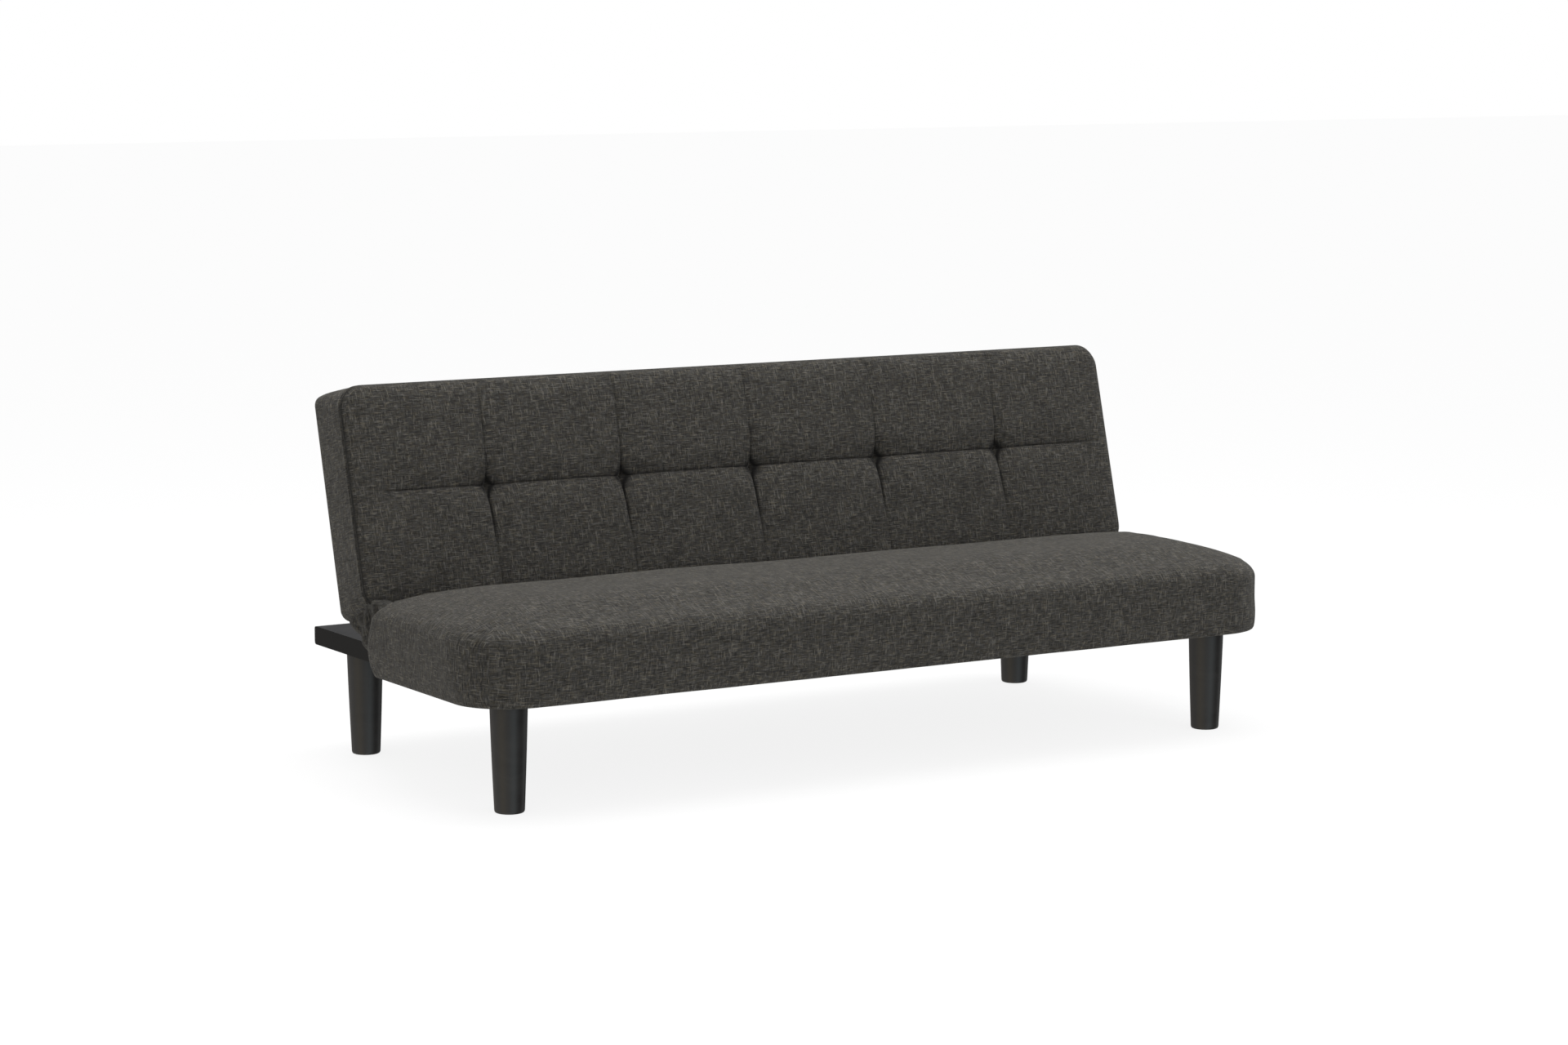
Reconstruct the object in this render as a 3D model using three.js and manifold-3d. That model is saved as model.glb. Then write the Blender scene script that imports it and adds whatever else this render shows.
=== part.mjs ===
// A compact click-clack futon sofa bed, in millimetres, +Z up.
// The origin is on the floor under the middle of the whole object: X runs along the sofa,
// -Y is the front and +Y the rear. The back is drawn upright about the hinge axis, inside a
// group that leans it back, so its own Y is its thickness and its own Z runs up the back.
import * as THREE from "three";
import { mergeVertices } from "three/addons/utils/BufferGeometryUtils.js";
import Module from "manifold-3d";

const wasm = await Module();
wasm.setup();

// ---------------------------------------------------------------- driving dimensions
const GAP = 0.3; // between pieces that touch
const SKIN = 2; // thickness of a sewn cover
const RAIL = 24; // thickness of the timber rails

const SEAT_HALF_LENGTH = 840;
const SEAT_FRONT_Y = -400;
const SEAT_REAR_Y = 47;
const SEAT_BOTTOM_Z = 191.8;
const SEAT_TOP_Z = 352;
const SEAT_CORNER = 95; // radius of the seat's front corners in plan
const SEAT_END_FALL = 26; // how far the top falls at the ends
const SEAT_END_ZONE = 170; // length at each end over which it falls
const SEAT_MOUTH_HALF = 780; // opening of the cover underneath
const SEAT_FRAME_HALF = 823;
const SEAT_FRAME_FRONT = -374;
const SEAT_FRAME_REAR = 28;
const END_RAIL_SETBACK = { front: 22, rear: 9 }; // the end rails stop short of the cushion's corners
const END_RAIL_MITRE = { along: 23, back: 60 }; // taken off their front outer edge
const FRONT_RAIL_MITRE = { along: 34, back: 22 }; // taken off the front rail's ends
const SEAT_RAIL_BOTTOM = 196;
const SEAT_RAIL_TOP = 285;
const SEAT_FOAM_BOTTOM = 297;

const PIVOT_Y = 113;
const PIVOT_Z = 313;
const BACK_LEAN = THREE.MathUtils.degToRad(15);
const BACK_HALF_LENGTH = 817;
const BACK_SEAM_Y = -20; // front seam plane, in the back's own frame
const BACK_CROWN_Y = -42; // the fullest part of the front face
const BACK_REAR_Y = 87;
const BACK_BOTTOM_Z = -29;
const BACK_TOP_Z = 377;
const BACK_CORNER = 60; // radius of the back's top corners seen from the front
const BACK_END_ZONE = 120; // length at each end over which the front face draws in
const BACK_END_PULL = 0.8;
const BACK_MOUTH = { half: 770, low: -6, high: 330 }; // opening of the cover behind
const BACK_RAIL_FRONT = 50;
const BACK_RAIL_REAR = 78;
const BACK_FRAME_BOTTOM = -10;
const BACK_FRAME_TOP = 336;

const BOARD_HALF_LENGTH = 770;
const BOARD_FRONT_Y = 150;
const BOARD_REAR_Y = 400;
const BOARD_BOTTOM = 191.5;
const BOARD_TOP = 225;
const BOARD_EDGE = 6; // rounding of the board's rear edge

const RUNNER_INNER = 690;
const RUNNER_OUTER = 765;
const RUNNER_FRONT_Y = -338;
const RUNNER_REAR_Y = 261;
const RUNNER_TOP = 215;
const LAP_TOP = 208; // top of the runner where the board laps over it

const LEG_HEIGHT = 191.2;
const LEG_TOP_RADIUS = 32.5;
const LEG_FOOT_RADIUS = 26;
const LEG_CHAMFER = 1.6;
const LEG_BORE_DEPTH = 30;
const STUD_RADIUS = 4;
const FRONT_LEG = { x: 733.6, y: -295.3 };
const REAR_LEG = { x: 715.5, y: 303.4 };

const HINGE_PLATE = 4; // thickness of the hinge arms
const RATCHET_PLATE = 5;
const SEAT_ARM_X = SEAT_FRAME_HALF - RAIL - GAP - HINGE_PLATE; // inside the end rail
const RATCHET_X = SEAT_ARM_X - GAP - RATCHET_PLATE;
const BACK_ARM_X = RATCHET_X - GAP - HINGE_PLATE;
const BACK_FRAME_HALF = BACK_ARM_X - GAP; // the back's arm lies outside its end rail
const HINGE_HEAD = 14; // radius of the arms round the pivot
const PIN_RADIUS = 5;
const RATCHET_ROOT = 13.5;
const RATCHET_TIP = 16.8;
const TOOTH_COUNT = 7;
const TOOTH_PITCH = THREE.MathUtils.degToRad(14);
const PAWL_Y = 10; // the pawl's own pivot, in the back's frame
const PAWL_Z = 46;
const PAWL_AXLE_RADIUS = 3;
const BOLT_RADIUS = 4;

const SPRING_COUNT = 8;
const SPRING_SPACING = 196;
const SPRING_WIRE = 1.8;
const WEBBING_SPACING = 400;
const GAP_CLOTH_HALF = 784;
const CLOTH_THICKNESS = 2;
const CUSHION_SECTIONS = 16; // along a cushion's length

const SIDES = { left: -1, right: 1 };
const SEAT_BOLTS = [
  { y: -60, z: 256 },
  { y: -135, z: 249 },
];
const BACK_BOLTS = [
  { y: 66, z: 110 },
  { y: 66, z: 190 },
];

// ---------------------------------------------------------------- finishes
const LOOKS = {
  cover: { color: 0x3f3e3a, roughness: 0.95, metalness: 0 },
  foam: { color: 0xd8cfae, roughness: 0.95, metalness: 0 },
  cloth: { color: 0x161616, roughness: 0.95, metalness: 0 },
  webbing: { color: 0x55524c, roughness: 0.9, metalness: 0 },
  timber: { color: 0xb08d62, roughness: 0.75, metalness: 0 },
  board: { color: 0x1d1c1b, roughness: 0.45, metalness: 0 },
  leg: { color: 0x1f1e1d, roughness: 0.38, metalness: 0 },
  steel: { color: 0x2b2b2d, roughness: 0.45, metalness: 0.8 },
  zinc: { color: 0xa9abad, roughness: 0.35, metalness: 1 },
};

const sofa = new THREE.Group();
const back = new THREE.Group();
back.position.set(0, PIVOT_Y, PIVOT_Z);
back.rotation.x = -BACK_LEAN;
sofa.add(back);

function addPart(group, name, geometry, look) {
  const mesh = new THREE.Mesh(geometry, new THREE.MeshStandardMaterial(LOOKS[look]));
  mesh.name = name;
  group.add(mesh);
}

// ---------------------------------------------------------------- shape helpers
function closed(geometry) {
  const bare = geometry.clone();
  bare.deleteAttribute("normal");
  bare.deleteAttribute("uv");
  return mergeVertices(bare, 1e-3);
}

function solidOf(geometry) {
  const bare = closed(geometry);
  return new wasm.Manifold(
    new wasm.Mesh({
      numProp: 3,
      vertProperties: new Float32Array(bare.attributes.position.array),
      triVerts: new Uint32Array(bare.index.array),
    }),
  );
}

function geometryOf(solid) {
  const mesh = solid.getMesh();
  const geometry = new THREE.BufferGeometry();
  geometry.setAttribute("position", new THREE.BufferAttribute(mesh.vertProperties, 3));
  geometry.setIndex(new THREE.BufferAttribute(mesh.triVerts, 1));
  geometry.computeVertexNormals();
  return geometry;
}

function cut(geometry, ...tools) {
  const left = tools.reduce((solid, tool) => solid.subtract(solidOf(tool)), solidOf(geometry));
  return geometryOf(left);
}

function join(geometry, ...others) {
  return geometryOf(others.reduce((solid, other) => solid.add(solidOf(other)), solidOf(geometry)));
}

function block([x0, x1], [y0, y1], [z0, z1]) {
  const box = new THREE.BoxGeometry(x1 - x0, y1 - y0, z1 - z0);
  return box.translate((x0 + x1) / 2, (y0 + y1) / 2, (z0 + z1) / 2);
}

// The block's twin on the side where x has the sign of side.
function sideBlock(side, [x0, x1], ys, zs) {
  return side > 0 ? block([x0, x1], ys, zs) : block([-x1, -x0], ys, zs);
}

// A shape drawn in Y and Z, given a thickness along X from x0 to x1.
function plate(shape, x0, x1, curveSegments = 5) {
  const flat = new THREE.ExtrudeGeometry(shape, { depth: x1 - x0, bevelEnabled: false, curveSegments });
  const alongX = new THREE.Matrix4().makeBasis(
    new THREE.Vector3(0, 1, 0),
    new THREE.Vector3(0, 0, 1),
    new THREE.Vector3(1, 0, 0),
  );
  return flat.applyMatrix4(alongX).translate(x0, 0, 0);
}

// The same, on the side where x has the sign of side; x0 is the face nearer the middle.
function sidePlate(side, shape, x0, x1, curveSegments) {
  return side > 0
    ? plate(shape, x0, x1, curveSegments)
    : plate(shape, -x1, -x0, curveSegments);
}

function roundHole(y, z, radius) {
  return new THREE.Path().absarc(y, z, radius, 0, 2 * Math.PI, true);
}

// A round bar along X from x0 to x1.
function barAlongX(y, z, radius, x0, x1, sides = 12) {
  const bar = new THREE.CylinderGeometry(radius, radius, x1 - x0, sides);
  return bar.rotateZ(Math.PI / 2).translate((x0 + x1) / 2, y, z);
}

function wire(points, radius, steps, sides = 5) {
  const ring = Array.from({ length: sides }, (_, i) => {
    const turn = (2 * Math.PI * i) / sides;
    return new THREE.Vector2(radius * Math.cos(turn), radius * Math.sin(turn));
  });
  return new THREE.ExtrudeGeometry(new THREE.Shape(ring), {
    extrudePath: new THREE.CatmullRomCurve3(points, false, "centripetal"),
    steps,
    bevelEnabled: false,
  });
}

// ---------------------------------------------------------------- upholstered shapes
// A cross-section drawn in Y and Z runs along the whole length of a cushion, in sections that
// crowd together towards the ends. bend(y, z, fromEnd) then shapes each point by its distance
// from the nearer end. inset makes a smaller one that fits inside.
function cushion({ shape, halfLength, middle, size, bend, inset }) {
  const run = closed(plateInSteps(shape, CUSHION_SECTIONS));
  const at = run.attributes.position;
  for (let i = 0; i < at.count; i++) {
    const share = Math.sin((at.getX(i) * Math.PI) / 2);
    const y = middle.y + (at.getY(i) - middle.y) * (1 - (2 * inset) / size.y);
    const z = middle.z + (at.getZ(i) - middle.z) * (1 - (2 * inset) / size.z);
    const bent = bend(y, z, (1 - Math.abs(share)) * halfLength);
    at.setXYZ(i, share * (halfLength - inset), bent.y, bent.z);
  }
  return run;
}

// A shape drawn in Y and Z, run from x = -1 to x = 1 in equal steps.
function plateInSteps(shape, steps) {
  const run = new THREE.ExtrudeGeometry(shape, {
    depth: 2,
    steps,
    bevelEnabled: false,
    curveSegments: 3,
  });
  const alongX = new THREE.Matrix4().makeBasis(
    new THREE.Vector3(0, 1, 0),
    new THREE.Vector3(0, 0, 1),
    new THREE.Vector3(1, 0, 0),
  );
  return run.applyMatrix4(alongX).translate(-1, 0, 0);
}

// How far a corner of that radius has turned in, at a distance from the end.
function cornerTurn(fromEnd, radius) {
  const share = Math.max(0, 1 - fromEnd / radius);
  return radius * (1 - Math.sqrt(1 - share * share));
}

function endShare(fromEnd, zone) {
  return Math.max(0, 1 - fromEnd / zone) ** 2;
}

function seatOutline() {
  const top = SEAT_TOP_Z;
  const low = SEAT_BOTTOM_Z;
  const shape = new THREE.Shape();
  shape.moveTo(SEAT_FRONT_Y + 26, low);
  shape.quadraticCurveTo(SEAT_FRONT_Y + 14, low, SEAT_FRONT_Y + 11, low + 12);
  shape.quadraticCurveTo(SEAT_FRONT_Y - 6, low + 70, SEAT_FRONT_Y + 4, low + 125);
  shape.quadraticCurveTo(SEAT_FRONT_Y + 12, top - 8, SEAT_FRONT_Y + 90, top - 3);
  shape.quadraticCurveTo(SEAT_FRONT_Y + 230, top + 3, SEAT_REAR_Y - 90, top - 10);
  shape.quadraticCurveTo(SEAT_REAR_Y - 30, top - 22, SEAT_REAR_Y - 16, top - 60);
  shape.quadraticCurveTo(SEAT_REAR_Y + 1, low + 50, SEAT_REAR_Y, low + 24);
  shape.quadraticCurveTo(SEAT_REAR_Y - 2, low, SEAT_REAR_Y - 22, low);
  return shape;
}

function seatBody(inset) {
  const cornerStart = SEAT_FRONT_Y + SEAT_CORNER;
  const height = SEAT_TOP_Z - SEAT_BOTTOM_Z;
  return cushion({
    shape: seatOutline(),
    halfLength: SEAT_HALF_LENGTH,
    middle: { y: (SEAT_FRONT_Y + SEAT_REAR_Y) / 2, z: (SEAT_BOTTOM_Z + SEAT_TOP_Z) / 2 },
    size: { y: SEAT_REAR_Y - SEAT_FRONT_Y, z: height },
    bend: (y, z, fromEnd) => ({
      y: y + cornerTurn(fromEnd, SEAT_CORNER) * Math.max(0, (cornerStart - y) / SEAT_CORNER),
      z: z - SEAT_END_FALL * endShare(fromEnd, SEAT_END_ZONE) * ((z - SEAT_BOTTOM_Z) / height),
    }),
    inset,
  });
}

function backOutline() {
  const shape = new THREE.Shape();
  shape.moveTo(BACK_SEAM_Y, -5);
  shape.lineTo(42, BACK_BOTTOM_Z + 3);
  shape.lineTo(BACK_REAR_Y - 24, BACK_BOTTOM_Z);
  shape.quadraticCurveTo(BACK_REAR_Y, BACK_BOTTOM_Z, BACK_REAR_Y, BACK_BOTTOM_Z + 24);
  shape.lineTo(BACK_REAR_Y, BACK_TOP_Z - 18);
  shape.quadraticCurveTo(BACK_REAR_Y, BACK_TOP_Z, BACK_REAR_Y - 20, BACK_TOP_Z);
  shape.lineTo(BACK_SEAM_Y + 5, BACK_TOP_Z);
  shape.quadraticCurveTo(BACK_SEAM_Y, BACK_TOP_Z, BACK_SEAM_Y - 2, BACK_TOP_Z - 6);
  shape.quadraticCurveTo(BACK_CROWN_Y, BACK_TOP_Z - 20, BACK_CROWN_Y, BACK_TOP_Z - 90);
  shape.lineTo(BACK_CROWN_Y, 80);
  shape.quadraticCurveTo(BACK_CROWN_Y, 15, BACK_SEAM_Y, -5);
  return shape;
}

function backBody(inset) {
  const cornerStart = BACK_TOP_Z - BACK_CORNER;
  return cushion({
    shape: backOutline(),
    halfLength: BACK_HALF_LENGTH,
    middle: { y: (BACK_CROWN_Y + BACK_REAR_Y) / 2, z: (BACK_BOTTOM_Z + BACK_TOP_Z) / 2 },
    size: { y: BACK_REAR_Y - BACK_CROWN_Y, z: BACK_TOP_Z - BACK_BOTTOM_Z },
    bend: (y, z, fromEnd) => ({
      y: y + Math.max(0, BACK_SEAM_Y - y) * BACK_END_PULL * endShare(fromEnd, BACK_END_ZONE),
      z: z - cornerTurn(fromEnd, BACK_CORNER) * Math.max(0, (z - cornerStart) / BACK_CORNER),
    }),
    inset,
  });
}

// ---------------------------------------------------------------- legs
function leg() {
  const top = LEG_HEIGHT;
  const bore = STUD_RADIUS + GAP;
  const outline = [
    [0, 0],
    [LEG_FOOT_RADIUS - LEG_CHAMFER, 0],
    [LEG_FOOT_RADIUS, LEG_CHAMFER],
    [LEG_TOP_RADIUS, top],
    [bore, top],
    [bore, top - LEG_BORE_DEPTH],
    [0, top - LEG_BORE_DEPTH],
  ];
  const turned = new THREE.LatheGeometry(outline.map(([r, z]) => new THREE.Vector2(r, z)), 20);
  return turned.rotateX(Math.PI / 2);
}

function stud() {
  const length = LEG_BORE_DEPTH + 19;
  const rod = new THREE.CylinderGeometry(STUD_RADIUS, STUD_RADIUS, length, 10);
  return rod.rotateX(Math.PI / 2).translate(0, 0, LEG_HEIGHT - LEG_BORE_DEPTH + GAP + length / 2);
}

function studHole(x, y) {
  const bore = new THREE.CylinderGeometry(STUD_RADIUS + GAP, STUD_RADIUS + GAP, 26, 10);
  return bore.rotateX(Math.PI / 2).translate(x, y, LEG_HEIGHT + 8);
}

function addLegs() {
  const places = { front: FRONT_LEG, rear: REAR_LEG };
  for (const [row, place] of Object.entries(places)) {
    for (const [hand, side] of Object.entries(SIDES)) {
      addPart(sofa, `leg_${row}_${hand}`, leg().translate(side * place.x, place.y, 0), "leg");
      addPart(sofa, `leg_stud_${row}_${hand}`, stud().translate(side * place.x, place.y, 0), "zinc");
    }
  }
}

// ---------------------------------------------------------------- board and runners
function boardOutline() {
  const shape = new THREE.Shape();
  shape.moveTo(BOARD_FRONT_Y, BOARD_BOTTOM);
  shape.lineTo(BOARD_REAR_Y - BOARD_EDGE, BOARD_BOTTOM);
  shape.quadraticCurveTo(BOARD_REAR_Y, BOARD_BOTTOM, BOARD_REAR_Y, BOARD_BOTTOM + BOARD_EDGE);
  shape.lineTo(BOARD_REAR_Y, BOARD_TOP - BOARD_EDGE);
  shape.quadraticCurveTo(BOARD_REAR_Y, BOARD_TOP, BOARD_REAR_Y - BOARD_EDGE, BOARD_TOP);
  shape.lineTo(BOARD_FRONT_Y, BOARD_TOP);
  return shape;
}

function rearBoard() {
  const tools = [];
  for (const side of Object.values(SIDES)) {
    tools.push(
      sideBlock(
        side,
        [RUNNER_INNER - GAP, RUNNER_OUTER + GAP],
        [BOARD_FRONT_Y - 1, RUNNER_REAR_Y + GAP],
        [BOARD_BOTTOM - 1, LAP_TOP + GAP],
      ),
      studHole(side * REAR_LEG.x, REAR_LEG.y),
    );
  }
  return cut(plate(boardOutline(), -BOARD_HALF_LENGTH, BOARD_HALF_LENGTH, 3), ...tools);
}

function runner(side) {
  const shape = new THREE.Shape();
  shape.moveTo(RUNNER_FRONT_Y, BOARD_BOTTOM);
  shape.lineTo(RUNNER_REAR_Y, BOARD_BOTTOM);
  shape.lineTo(RUNNER_REAR_Y, LAP_TOP);
  shape.lineTo(BOARD_FRONT_Y - GAP, LAP_TOP);
  shape.lineTo(BOARD_FRONT_Y - GAP, RUNNER_TOP);
  shape.lineTo(RUNNER_FRONT_Y, RUNNER_TOP);
  const bar = sidePlate(side, shape, RUNNER_INNER, RUNNER_OUTER);
  return cut(bar, studHole(side * FRONT_LEG.x, FRONT_LEG.y));
}

function addBase() {
  addPart(sofa, "rear_board", rearBoard(), "board");
  for (const [hand, side] of Object.entries(SIDES)) {
    addPart(sofa, `runner_${hand}`, runner(side), "board");
  }
}

// ---------------------------------------------------------------- seat
function runnerSlot(side, ys, grow) {
  const xs = [RUNNER_INNER - grow, RUNNER_OUTER + grow];
  return sideBlock(side, xs, ys, [SEAT_BOTTOM_Z - 5, RUNNER_TOP + grow]);
}

function seatBoltHole(side, bolt) {
  const inner = SEAT_ARM_X - 2;
  const outer = SEAT_ARM_X + HINGE_PLATE + RAIL;
  return side > 0
    ? barAlongX(bolt.y, bolt.z, BOLT_RADIUS + GAP, inner, outer)
    : barAlongX(bolt.y, bolt.z, BOLT_RADIUS + GAP, -outer, -inner);
}

// What is taken off the front outer edge of a rail that ends at x and starts at y.
function frontMitre(side, x, y, { along, back: depth }) {
  const shape = new THREE.Shape();
  shape.moveTo(side * (x - 1.5 * along), y - 0.5 * depth);
  shape.lineTo(side * (x + 0.5 * along), y + 1.5 * depth);
  shape.lineTo(side * (x + along), y - depth);
  const depthZ = SEAT_RAIL_TOP - SEAT_RAIL_BOTTOM + 2;
  const wedge = new THREE.ExtrudeGeometry(shape, { depth: depthZ, bevelEnabled: false });
  return wedge.translate(0, 0, SEAT_RAIL_BOTTOM - 1);
}

function addSeatFrame() {
  const zs = [SEAT_RAIL_BOTTOM, SEAT_RAIL_TOP];
  const betweenEnds = SEAT_FRAME_HALF - RAIL - GAP;
  const front = [SEAT_FRAME_FRONT, SEAT_FRAME_FRONT + RAIL];
  const rear = [SEAT_FRAME_REAR - RAIL, SEAT_FRAME_REAR];
  const mitres = Object.values(SIDES).map((side) => {
    return frontMitre(side, betweenEnds, SEAT_FRAME_FRONT, FRONT_RAIL_MITRE);
  });
  const frontRail = cut(block([-betweenEnds, betweenEnds], front, zs), ...mitres);
  addPart(sofa, "seat_front_rail", frontRail, "timber");
  const besideArms = SEAT_ARM_X - GAP;
  const notches = Object.values(SIDES).map((side) => runnerSlot(side, [rear[0] - 1, rear[1] + 1], GAP));
  const rearRail = cut(block([-besideArms, besideArms], rear, zs), ...notches);
  addPart(sofa, "seat_rear_rail", rearRail, "timber");
  const between = [front[1] + GAP, rear[0] - GAP];
  addPart(sofa, "seat_centre_rail", block([-RAIL / 2, RAIL / 2], between, zs), "timber");
  for (const [hand, side] of Object.entries(SIDES)) {
    const xs = [SEAT_FRAME_HALF - RAIL, SEAT_FRAME_HALF];
    const ys = [SEAT_FRAME_FRONT + END_RAIL_SETBACK.front, SEAT_FRAME_REAR - END_RAIL_SETBACK.rear];
    const rail = sideBlock(side, xs, ys, zs);
    const holes = SEAT_BOLTS.map((bolt) => seatBoltHole(side, bolt));
    const mitre = frontMitre(side, SEAT_FRAME_HALF, ys[0], END_RAIL_MITRE);
    addPart(sofa, `seat_end_rail_${hand}`, cut(rail, mitre, ...holes), "timber");
  }
}

function seatSpring(x) {
  const points = [];
  const bends = 16;
  const front = SEAT_FRAME_FRONT + 8;
  const pitch = (SEAT_FRAME_REAR - 8 - front) / bends;
  for (let i = 0; i <= bends; i++) {
    const swing = i === 0 || i === bends ? 0 : i % 2 ? 24 : -24;
    const arch = 6 * Math.sin((Math.PI * i) / bends);
    points.push(new THREE.Vector3(x + swing, front + i * pitch, SEAT_RAIL_TOP + 3 + arch));
  }
  return wire(points, SPRING_WIRE, 2 * bends);
}

function addSeatSprings() {
  for (let i = 0; i < SPRING_COUNT; i++) {
    const x = (i - (SPRING_COUNT - 1) / 2) * SPRING_SPACING;
    addPart(sofa, `seat_spring_${i + 1}`, seatSpring(x), "zinc");
  }
}

// The space that the seat's hinge arms need inside the pad, and to leave it at the rear.
function armPocket(side) {
  const xs = [BACK_ARM_X - 3, SEAT_ARM_X + HINGE_PLATE + GAP];
  return sideBlock(side, xs, [-175, SEAT_REAR_Y + 20], [225, 318]);
}

function addSeatUpholstery() {
  const sides = Object.values(SIDES);
  const far = SEAT_HALF_LENGTH + 20;
  const below = block([-far, far], [-500, 200], [100, SEAT_FOAM_BOTTOM]);
  const foam = cut(seatBody(SKIN + 0.6), below, ...sides.map(armPocket));
  addPart(sofa, "seat_foam", foam, "foam");
  const mouthYs = [SEAT_FRAME_FRONT + RAIL - 2, SEAT_FRAME_REAR - RAIL - 2];
  const mouth = block([-SEAT_MOUTH_HALF, SEAT_MOUTH_HALF], mouthYs, [SEAT_BOTTOM_Z - 40, SEAT_BOTTOM_Z + 40]);
  const slots = sides.map((side) => runnerSlot(side, [0, SEAT_REAR_Y + 10], 1));
  const cover = cut(seatBody(0), seatBody(SKIN), mouth, ...slots, ...sides.map(armPocket));
  addPart(sofa, "seat_cover", cover, "cover");
  const dustCover = block(
    [-RUNNER_INNER + 1, RUNNER_INNER - 1],
    [mouthYs[0] + 1, mouthYs[1] - 1],
    [SEAT_RAIL_BOTTOM - 1.8, SEAT_RAIL_BOTTOM - 0.5],
  );
  addPart(sofa, "seat_dust_cover", dustCover, "cloth");
}

// The cloth that closes the gap behind the seat: from the seat's rear face it sags over the
// runners, and rises to the underside of the back.
function gapCloth() {
  const middle = [
    new THREE.Vector2(50.5, 262),
    new THREE.Vector2(62, 236),
    new THREE.Vector2(94, 219),
    new THREE.Vector2(126, 232),
    new THREE.Vector2(144, 256),
    new THREE.Vector2(150, 269),
  ];
  const line = new THREE.SplineCurve(middle).getPoints(12);
  const shape = new THREE.Shape();
  shape.setFromPoints([
    ...line.map((p) => new THREE.Vector2(p.x, p.y - CLOTH_THICKNESS)),
    ...line.reverse(),
  ]);
  return plate(shape, -GAP_CLOTH_HALF, GAP_CLOTH_HALF);
}

// ---------------------------------------------------------------- hinges: the seat's half
function seatArmOutline() {
  const shape = new THREE.Shape();
  shape.moveTo(-165, 230);
  shape.lineTo(8, 242);
  shape.lineTo(PIVOT_Y + 6, PIVOT_Z - 12.65);
  shape.absarc(PIVOT_Y, PIVOT_Z, HINGE_HEAD, -1.13, 2.0, false);
  shape.lineTo(0, 283);
  shape.lineTo(-165, 266);
  shape.holes.push(roundHole(PIVOT_Y, PIVOT_Z, PIN_RADIUS + GAP));
  for (const bolt of SEAT_BOLTS) {
    shape.holes.push(roundHole(bolt.y, bolt.z, BOLT_RADIUS + GAP));
  }
  return shape;
}

// A toothed sector round the pivot. Its teeth face the way the pawl travels as the back folds.
function ratchetOutline() {
  const shape = new THREE.Shape();
  const first = Math.PI / 2 - BACK_LEAN + THREE.MathUtils.degToRad(12);
  shape.absarc(PIVOT_Y, PIVOT_Z, RATCHET_ROOT, first, first + Math.PI, false);
  const last = first - TOOTH_COUNT * TOOTH_PITCH;
  shape.absarc(PIVOT_Y, PIVOT_Z, RATCHET_ROOT, first + Math.PI, last + 2 * Math.PI, false);
  for (let tooth = TOOTH_COUNT - 1; tooth >= 0; tooth--) {
    const start = first - (tooth + 1) * TOOTH_PITCH;
    const tip = start + TOOTH_PITCH * 0.8;
    shape.lineTo(PIVOT_Y + RATCHET_TIP * Math.cos(tip), PIVOT_Z + RATCHET_TIP * Math.sin(tip));
    const root = start + TOOTH_PITCH;
    shape.lineTo(PIVOT_Y + RATCHET_ROOT * Math.cos(root), PIVOT_Z + RATCHET_ROOT * Math.sin(root));
  }
  shape.holes.push(roundHole(PIVOT_Y, PIVOT_Z, PIN_RADIUS + GAP));
  return shape;
}

// A turned piece on an axis along X: its outline gives [radius, distance from the middle].
function turnedAlongX(side, y, z, outline, sides = 10) {
  const profile = outline.map(([r, x]) => new THREE.Vector2(r, x));
  const turned = new THREE.LatheGeometry(profile, sides).rotateZ(-Math.PI / 2);
  if (side < 0) {
    turned.rotateY(Math.PI);
  }
  return turned.translate(0, y, z);
}

function hingePin(side) {
  const inner = BACK_ARM_X - GAP;
  const outer = SEAT_ARM_X + HINGE_PLATE + GAP;
  return turnedAlongX(side, PIVOT_Y, PIVOT_Z, [
    [0, inner - 3],
    [9, inner - 2],
    [9, inner],
    [PIN_RADIUS, inner],
    [PIN_RADIUS, outer],
    [9, outer],
    [9, outer + 2],
    [0, outer + 3],
  ]);
}

function seatHingeBolt(side, bolt) {
  const head = SEAT_ARM_X - GAP;
  return turnedAlongX(side, bolt.y, bolt.z, [
    [0, head - 3],
    [8, head - 2],
    [8, head],
    [BOLT_RADIUS, head],
    [BOLT_RADIUS, head + HINGE_PLATE + RAIL - 2],
    [0, head + HINGE_PLATE + RAIL - 2],
  ]);
}

function addSeatHinges() {
  for (const [hand, side] of Object.entries(SIDES)) {
    const arm = sidePlate(side, seatArmOutline(), SEAT_ARM_X, SEAT_ARM_X + HINGE_PLATE);
    addPart(sofa, `seat_hinge_arm_${hand}`, arm, "steel");
    const ratchet = sidePlate(side, ratchetOutline(), RATCHET_X, RATCHET_X + RATCHET_PLATE);
    addPart(sofa, `hinge_ratchet_${hand}`, ratchet, "steel");
    addPart(sofa, `hinge_pin_${hand}`, hingePin(side), "zinc");
    SEAT_BOLTS.forEach((bolt, i) => {
      addPart(sofa, `seat_hinge_bolt_${hand}_${i + 1}`, seatHingeBolt(side, bolt), "zinc");
    });
  }
}

// ---------------------------------------------------------------- back, in its own frame
function backBoltHole(side, bolt) {
  const inner = BACK_ARM_X - RAIL - 4;
  const outer = BACK_ARM_X + HINGE_PLATE + 2;
  return side > 0
    ? barAlongX(bolt.y, bolt.z, BOLT_RADIUS + GAP, inner, outer)
    : barAlongX(bolt.y, bolt.z, BOLT_RADIUS + GAP, -outer, -inner);
}

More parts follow.
